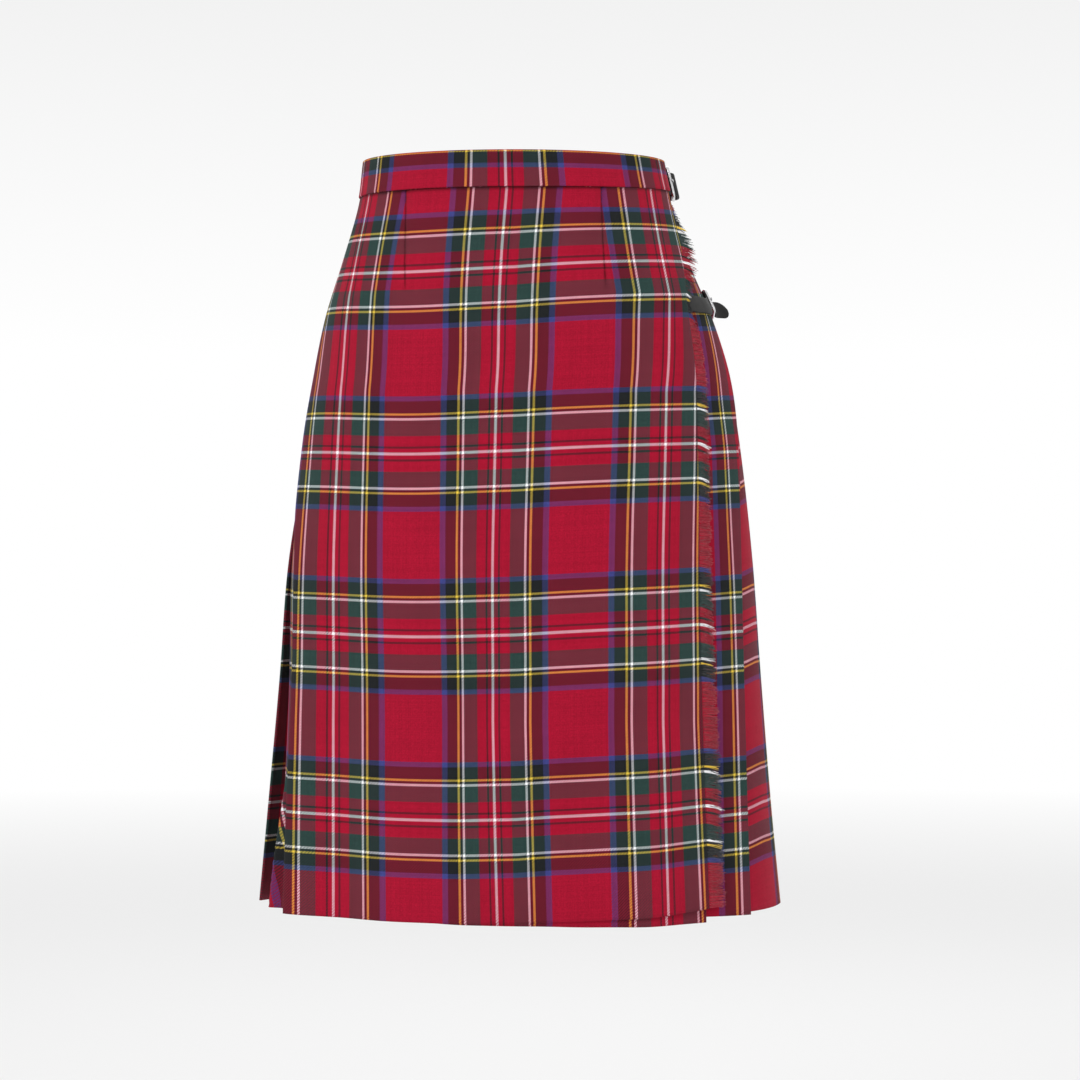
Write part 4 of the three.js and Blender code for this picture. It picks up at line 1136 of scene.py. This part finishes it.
# %% Black leather
def black_leather():
    nodes = Nodes("black leather")
    spot = nodes.add("ShaderNodeTexCoord").outputs["Object"]
    grain = nodes.add("ShaderNodeTexVoronoi", {"Vector": spot, "Scale": 1100}, feature="DISTANCE_TO_EDGE")
    blotch = nodes.add("ShaderNodeTexNoise", {"Vector": spot, "Scale": 160, "Detail": 4})
    tone = nodes.ramp(blotch.outputs[0], [(0.3, (0.005, 0.005, 0.005)), (0.7, (0.014, 0.013, 0.012))])
    nodes.join(tone, nodes.shader.inputs["Base Color"])
    rough = nodes.math("MULTIPLY_ADD", blotch.outputs[0], 0.3, 0.36)
    nodes.join(rough, nodes.shader.inputs["Roughness"])
    nodes.shader.inputs["Specular IOR Level"].default_value = 0.2
    relief = nodes.add("ShaderNodeBump", {"Strength": 0.35, "Distance": 0.0002, "Height": grain.outputs[0]})
    nodes.join(relief.outputs[0], nodes.shader.inputs["Normal"])
    return nodes.material


LEATHER = black_leather()
print("made", LEATHER.name)


# %% Nickel plate
def nickel_plate():
    nodes = Nodes("nickel plate")
    spot = nodes.add("ShaderNodeTexCoord").outputs["Object"]
    wear = nodes.add("ShaderNodeTexNoise", {"Vector": spot, "Scale": 240, "Detail": 4})
    tone = nodes.ramp(wear.outputs[0], [(0.3, (0.62, 0.62, 0.63)), (0.7, (0.80, 0.80, 0.81))])
    nodes.join(tone, nodes.shader.inputs["Base Color"])
    nodes.join(nodes.math("MULTIPLY_ADD", wear.outputs[0], 0.22, 0.14), nodes.shader.inputs["Roughness"])
    nodes.shader.inputs["Metallic"].default_value = 1
    return nodes.material


NICKEL = nickel_plate()
print("made", NICKEL.name)

# %% [markdown]
# ## A strap as a ribbon
# A strap is one flat strip of hide that bends only along its length. A curve with a bevel would
# twist where the course turns. A ribbon that knows which way is up at every stop can't twist,
# and its free end can be rounded by narrowing the last stops.

# %% A smooth course
RIBBON_STEP = 0.9


def smooth_course(stops, step):
    """A course of points, rounded by a spline through them and read at even steps."""
    stops = np.asarray(stops, float)
    length = np.concatenate([[0], np.cumsum(np.linalg.norm(np.diff(stops[:, 0], axis=0), axis=1))])
    slope = np.gradient(stops, length, axis=0)
    even = np.linspace(0, length[-1], max(int(length[-1] / step), 2) + 1)
    row = np.clip(np.searchsorted(length, even, side="right") - 1, 0, len(length) - 2)
    span = (length[row + 1] - length[row])[:, None, None]
    t = (even - length[row])[:, None, None] / span
    return hermite(stops[row], stops[row + 1], span * slope[row], span * slope[row + 1], t), even


def rounded_rectangle(width, height, corner, steps):
    """Points round a rectangle with round corners, and the direction out at each of them."""
    turn = np.radians(np.linspace(0, 90, steps))
    points, outward = [], []
    for quarter, (side, up) in enumerate([(1, 1), (-1, 1), (-1, -1), (1, -1)]):
        angle = turn + quarter * np.pi / 2
        direction = np.stack([np.cos(angle), np.sin(angle)], -1)
        centre = np.array([side * (width / 2 - corner), up * (height / 2 - corner)])
        points.append(centre + corner * direction)
        outward.append(direction)
    return np.concatenate(points), np.concatenate(outward)


print("points round a strap's section:", len(rounded_rectangle(21, STRAP_LEATHER, 0.5, 5)[0]))

# %% A ribbon of leather
EDGE_ROUNDNESS = 0.42
END_ROUNDNESS = 0.42
SECTION_STEPS = 5


def leather_ribbon(name, stops, width, thickness, rounded):
    """stops holds, for each stop, its middle point and a point half a width above it."""
    curve, length = smooth_course(stops, RIBBON_STEP)
    middle = curve[:, 0]
    across = (curve[:, 1] - curve[:, 0]) / (width / 2)
    ahead = np.gradient(middle, axis=0)
    out = np.cross(ahead, across)
    out /= np.linalg.norm(out, axis=1, keepdims=True)
    share = np.ones(len(length))
    if rounded:
        left = np.clip((length[-1] - length) / (END_ROUNDNESS * width), 0.004, 1)
        share = np.sqrt(1 - (1 - left) ** 2)
    loop, _ = rounded_rectangle(width, thickness, EDGE_ROUNDNESS * thickness, SECTION_STEPS)
    points = (middle[:, None] + (loop[:, 0][None, :, None] * share[:, None, None]) * across[:, None]
              + loop[:, 1][None, :, None] * out[:, None])
    rows, columns = points.shape[:2]
    faces = grid_faces(rows, columns, closed=True) + end_caps(rows, columns)
    print(f"{name}: {length[-1]:.0f} mm long, {width} mm wide")
    return mesh_piece(name, points.reshape(-1, 3), faces, LEATHER)


# %% Straps and tabs
def strap_piece(name, parts, buckle):
    half = parts["width"] / 2
    over = WRAP_OUTSIDE + SEAM_GAP + STRAP_LEATHER / 2
    under = BAR + 2 * SEAM_GAP + STRAP_LEATHER / 2
    in_frame = [
        (FRAME_LENGTH + 3, -under - 0.2), (FRAME_LENGTH - 1.8, -under), (FRAME_LENGTH - 5, -under + 1.4),
        (3, over - 0.2), (-3, over + 0.3),
    ]
    stops = [[buckle.on_cloth(arc, lift, h) for h in (0, half)] for arc, lift in parts["lead"]]
    stops += [[buckle.at(along, out, h) for h in (0, half)] for along, out in in_frame]
    stops += [[buckle.on_cloth(arc, lift, h) for h in (0, half)] for arc, lift in parts["tail"]]
    return leather_ribbon(f"{name}_strap_leather", stops, parts["width"], STRAP_LEATHER, True)


def tab_piece(name, parts, buckle):
    width = parts["width"] - TAB_NARROWER
    half = width / 2

    def layer(arc, extra):
        lift = ground_lift(name, arc, parts["z"]) + SEAM_GAP + TAB_LEATHER / 2 + extra
        return [buckle.on_cloth(arc, lift, h) for h in (0, half)]

    def bent(along, out):
        return [buckle.at(along, out, h) for h in (0, half)]

    turn = np.radians(np.linspace(-90, 90, 7))
    stops = [layer(arc, 0) for arc in reversed(parts["tab_arcs"])]
    stops.append(bent(-WRAP_OUTSIDE - 0.9, -WRAP_MIDDLE))
    stops += [bent(WRAP_MIDDLE * math.cos(angle), WRAP_MIDDLE * math.sin(angle)) for angle in turn]
    stops.append(bent(-WRAP_OUTSIDE - 0.9, WRAP_MIDDLE))
    stops += [layer(arc, TAB_LEATHER + SEAM_GAP) for arc in parts["tab_arcs"]]
    return leather_ribbon(f"{name}_tab_leather", stops, width, TAB_LEATHER, False)


leather_pieces = {}
for name, parts in FASTENINGS.items():
    buckle = BuckleFrame(parts)
    leather_pieces[name] = (strap_piece(name, parts, buckle), tab_piece(name, parts, buckle))

# %% [markdown]
# ## Buckle and prong
# A strap buckle is cast as one rounded loop, and its prong is a flat finger whose end is curled
# round the heel bar. Both are a small section swept along a path, which keeps the section the
# same at every corner, as a casting has it.

# %% A section swept along a path
SWEEP_CORNERS = 12


def swept(name, path, side_a, side_b, radii, closed):
    """A metal oval swept along a path of points. side_a and side_b span the oval."""
    turn = np.linspace(0, 2 * np.pi, SWEEP_CORNERS + 1)[:-1, None]
    ring = radii[0] * np.cos(turn) * side_a[:, None] + radii[1] * np.sin(turn) * side_b[:, None]
    points = path[:, None] + ring
    rows, columns = points.shape[:2]
    if closed:
        faces = grid_faces(rows + 1, columns, closed=True)
        faces = [[corner % (rows * columns) for corner in face] for face in faces]
    else:
        faces = grid_faces(rows, columns, closed=True) + end_caps(rows, columns)
    print(f"{name}: {len(faces)} faces")
    return mesh_piece(name, points.reshape(-1, 3), faces, NICKEL)


# %% Buckles
BUCKLE_WIRE = (1.12 * BAR, 1.05 * BAR)
CORNER_STEPS = 9


def buckle_piece(name, parts, buckle):
    height = parts["frame_height"] - 2 * BAR
    plane, outward = rounded_rectangle(FRAME_LENGTH, height, FRAME_CORNER - BAR, CORNER_STEPS)
    path = buckle.origin + (plane[:, :1] + FRAME_LENGTH / 2) * buckle.t + plane[:, 1:] * buckle.v
    side = outward[:, :1] * buckle.t + outward[:, 1:] * buckle.v
    normal = np.broadcast_to(buckle.n, side.shape)
    return swept(f"{name}_buckle_loop", path, side, normal, BUCKLE_WIRE, True)


loops = {name: buckle_piece(name, parts, BuckleFrame(parts)) for name, parts in FASTENINGS.items()}

# %% Prongs
PRONG_SECTION = (0.55, 1.05)
PRONG_CURL = (60, 372)
CURL_STEPS = 27
PRONG_FINGER = [(4.2, 1.0), (7, 1.7), (10, 2.1), (13, 2.25), (15, 2.3), (16.4, 2.2), (17.2, 1.9)]


def prong_piece(name, buckle):
    ring = WRAP_INSIDE + PRONG_SECTION[0]
    turn = np.radians(np.linspace(*PRONG_CURL, CURL_STEPS))
    curl = [(ring * math.cos(angle), ring * math.sin(angle)) for angle in turn]
    flat = np.array(curl + PRONG_FINGER)
    ahead = np.gradient(flat, axis=0)
    ahead /= np.linalg.norm(ahead, axis=1, keepdims=True)
    path = buckle.origin + flat[:, :1] * buckle.t + flat[:, 1:] * buckle.n
    side = -ahead[:, 1:] * buckle.t + ahead[:, :1] * buckle.n
    height = np.broadcast_to(buckle.v, side.shape)
    return swept(f"{name}_prong_finger", path, side, height, PRONG_SECTION, False)


fingers = {name: prong_piece(name, BuckleFrame(parts)) for name, parts in FASTENINGS.items()}

# %% [markdown]
# ## Floor, light and room
# The skirt keeps its worn form with nobody in it, so it hangs above a plain pale floor at the
# height that it is worn at. The room is bright and even, with one soft light a little stronger
# on one side, because that shows the folds without hard shadows.

# %% Pale floor
FLOOR_HEIGHT = -1.08
FLOOR_HALF = 30
GLOW_STARTS = 1.4
GLOW_FULL = 7.0
GLOW_LEAST = 0.86
bpy.context.scene.view_settings.view_transform = "Standard"


def pale_floor():
    """Pale paint with a painted glow: an emission that grows with distance until it meets the white room.
    """
    nodes = Nodes("pale floor")
    spot = nodes.add("ShaderNodeTexCoord").outputs["Object"]
    apart = nodes.add("ShaderNodeVectorMath", {0: spot}, operation="LENGTH").outputs["Value"]
    reach = {"Value": apart, "From Min": GLOW_STARTS, "From Max": GLOW_FULL}
    share = nodes.add("ShaderNodeMapRange", reach).outputs[0]
    glow = nodes.add("ShaderNodeMapRange", {**reach, "To Min": GLOW_LEAST})
    nodes.shader.inputs["Base Color"].default_value = (0.84, 0.84, 0.84, 1)
    nodes.shader.inputs["Roughness"].default_value = 0.8
    light = nodes.add("ShaderNodeEmission", {"Color": (1, 1, 1, 1), "Strength": glow.outputs[0]})
    both = nodes.add("ShaderNodeMixShader", {0: share, 1: nodes.shader.outputs[0], 2: light.outputs[0]})
    nodes.tree.links.new(both.outputs[0], nodes.tree.nodes["Material Output"].inputs["Surface"])
    return nodes.material


corners = [(-1, -1), (1, -1), (1, 1), (-1, 1)]
floor_mesh = bpy.data.meshes.new("floor")
floor_points = [(x * FLOOR_HALF, y * FLOOR_HALF, FLOOR_HEIGHT) for x, y in corners]
floor_mesh.from_pydata(floor_points, [], [(0, 1, 2, 3)])
floor_mesh.materials.append(pale_floor())
floor = bpy.data.objects.new("floor", floor_mesh)
bpy.context.collection.objects.link(floor)
print("floor", -FLOOR_HEIGHT, "m below the waist")

# %% White room
ROOM_FADE = {"From Min": 0.06, "From Max": 0.2, "To Min": 1.0, "To Max": 0.86}


def white_room():
    """White all round, and a little less bright overhead than at eye level."""
    world = bpy.data.worlds.new("room")
    world.use_nodes = True
    tree = world.node_tree
    background = tree.nodes["Background"]
    direction = tree.nodes.new("ShaderNodeTexCoord")
    split = tree.nodes.new("ShaderNodeSeparateXYZ")
    fade = tree.nodes.new("ShaderNodeMapRange")
    tree.links.new(direction.outputs["Generated"], split.inputs[0])
    tree.links.new(split.outputs["Z"], fade.inputs["Value"])
    tree.links.new(fade.outputs[0], background.inputs["Strength"])
    for name, value in ROOM_FADE.items():
        fade.inputs[name].default_value = value
    background.inputs["Color"].default_value = (1, 1, 1, 1)
    return world


bpy.context.scene.world = white_room()
print("room:", bpy.context.scene.world.name)

# %% Soft lights
LIGHTS = (
    ("key", (-1.7, -2.6, 1.3), 1.8, 30),
    ("fill", (2.2, -2.2, 0.2), 2.2, 8),
    ("back", (0.3, 2.6, 1.5), 2.0, 20),
)
LIT_PLACE = Vector((0, 0, -0.3))


def area_light(name, spot, size, power):
    light = bpy.data.lights.new(name, "AREA")
    light.shape = "SQUARE"
    light.size = size
    light.energy = power
    lamp = bpy.data.objects.new(name, light)
    lamp.location = spot
    lamp.rotation_euler = (LIT_PLACE - Vector(spot)).to_track_quat("-Z", "Y").to_euler()
    bpy.context.collection.objects.link(lamp)
    print(f"{name}: {power} W, {size} m square")


for light in LIGHTS:
    area_light(*light)

# %% [markdown]
# ## What each piece stands for
# Every visible piece rides on the skirt's one body and takes the place of the solid it was built
# on. Each sheet of cloth also gives its flat size, so that the amount of cloth can be checked
# against what a maker would cut.

# %% Put the cloth on the body and hide its solids
SHEETS = (
    (over_apron, "over_apron", (0.400, 0.600), "hung", ["waistband_cloth"], [fringe]),
    (under_apron, "under_apron", (0.340, 0.603), "hung", ["waistband_cloth"], []),
    (back_pleats, "back_pleats", (1.40, 0.600), "folded", ["waistband_cloth"], []),
    (waistband, "waistband", (0.985, 0.066), "folded", ["over_apron_cloth"], [facing]),
)
for piece, node, flat, held, rests, parts in SHEETS:
    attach(piece, "root")
    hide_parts(node)
    print(f"{node}: {flat[0]} x {flat[1]} m flat")

# %% Put the small pieces on the body and hide their solids
SMALL_PIECES = [(fringe, "over_apron_fringe", "tartan_wool"), (facing, "waistband", "tartan_wool")]
for name, (strap, tab) in leather_pieces.items():
    SMALL_PIECES += [
        (strap, f"{name}_strap", "black_leather"), (tab, f"{name}_strap_tab", "black_leather"),
        (loops[name], f"{name}_buckle", "nickel"), (fingers[name], f"{name}_buckle_prong", "nickel"),
    ]
for piece, node, finish in SMALL_PIECES:
    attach(piece, "root")
    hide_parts(node)
print(len(SHEETS) + len(SMALL_PIECES), "pieces and a floor")

# %% [markdown]
# ## Sizes
# The box round the solids and the box round the pieces should agree within a few millimetres.
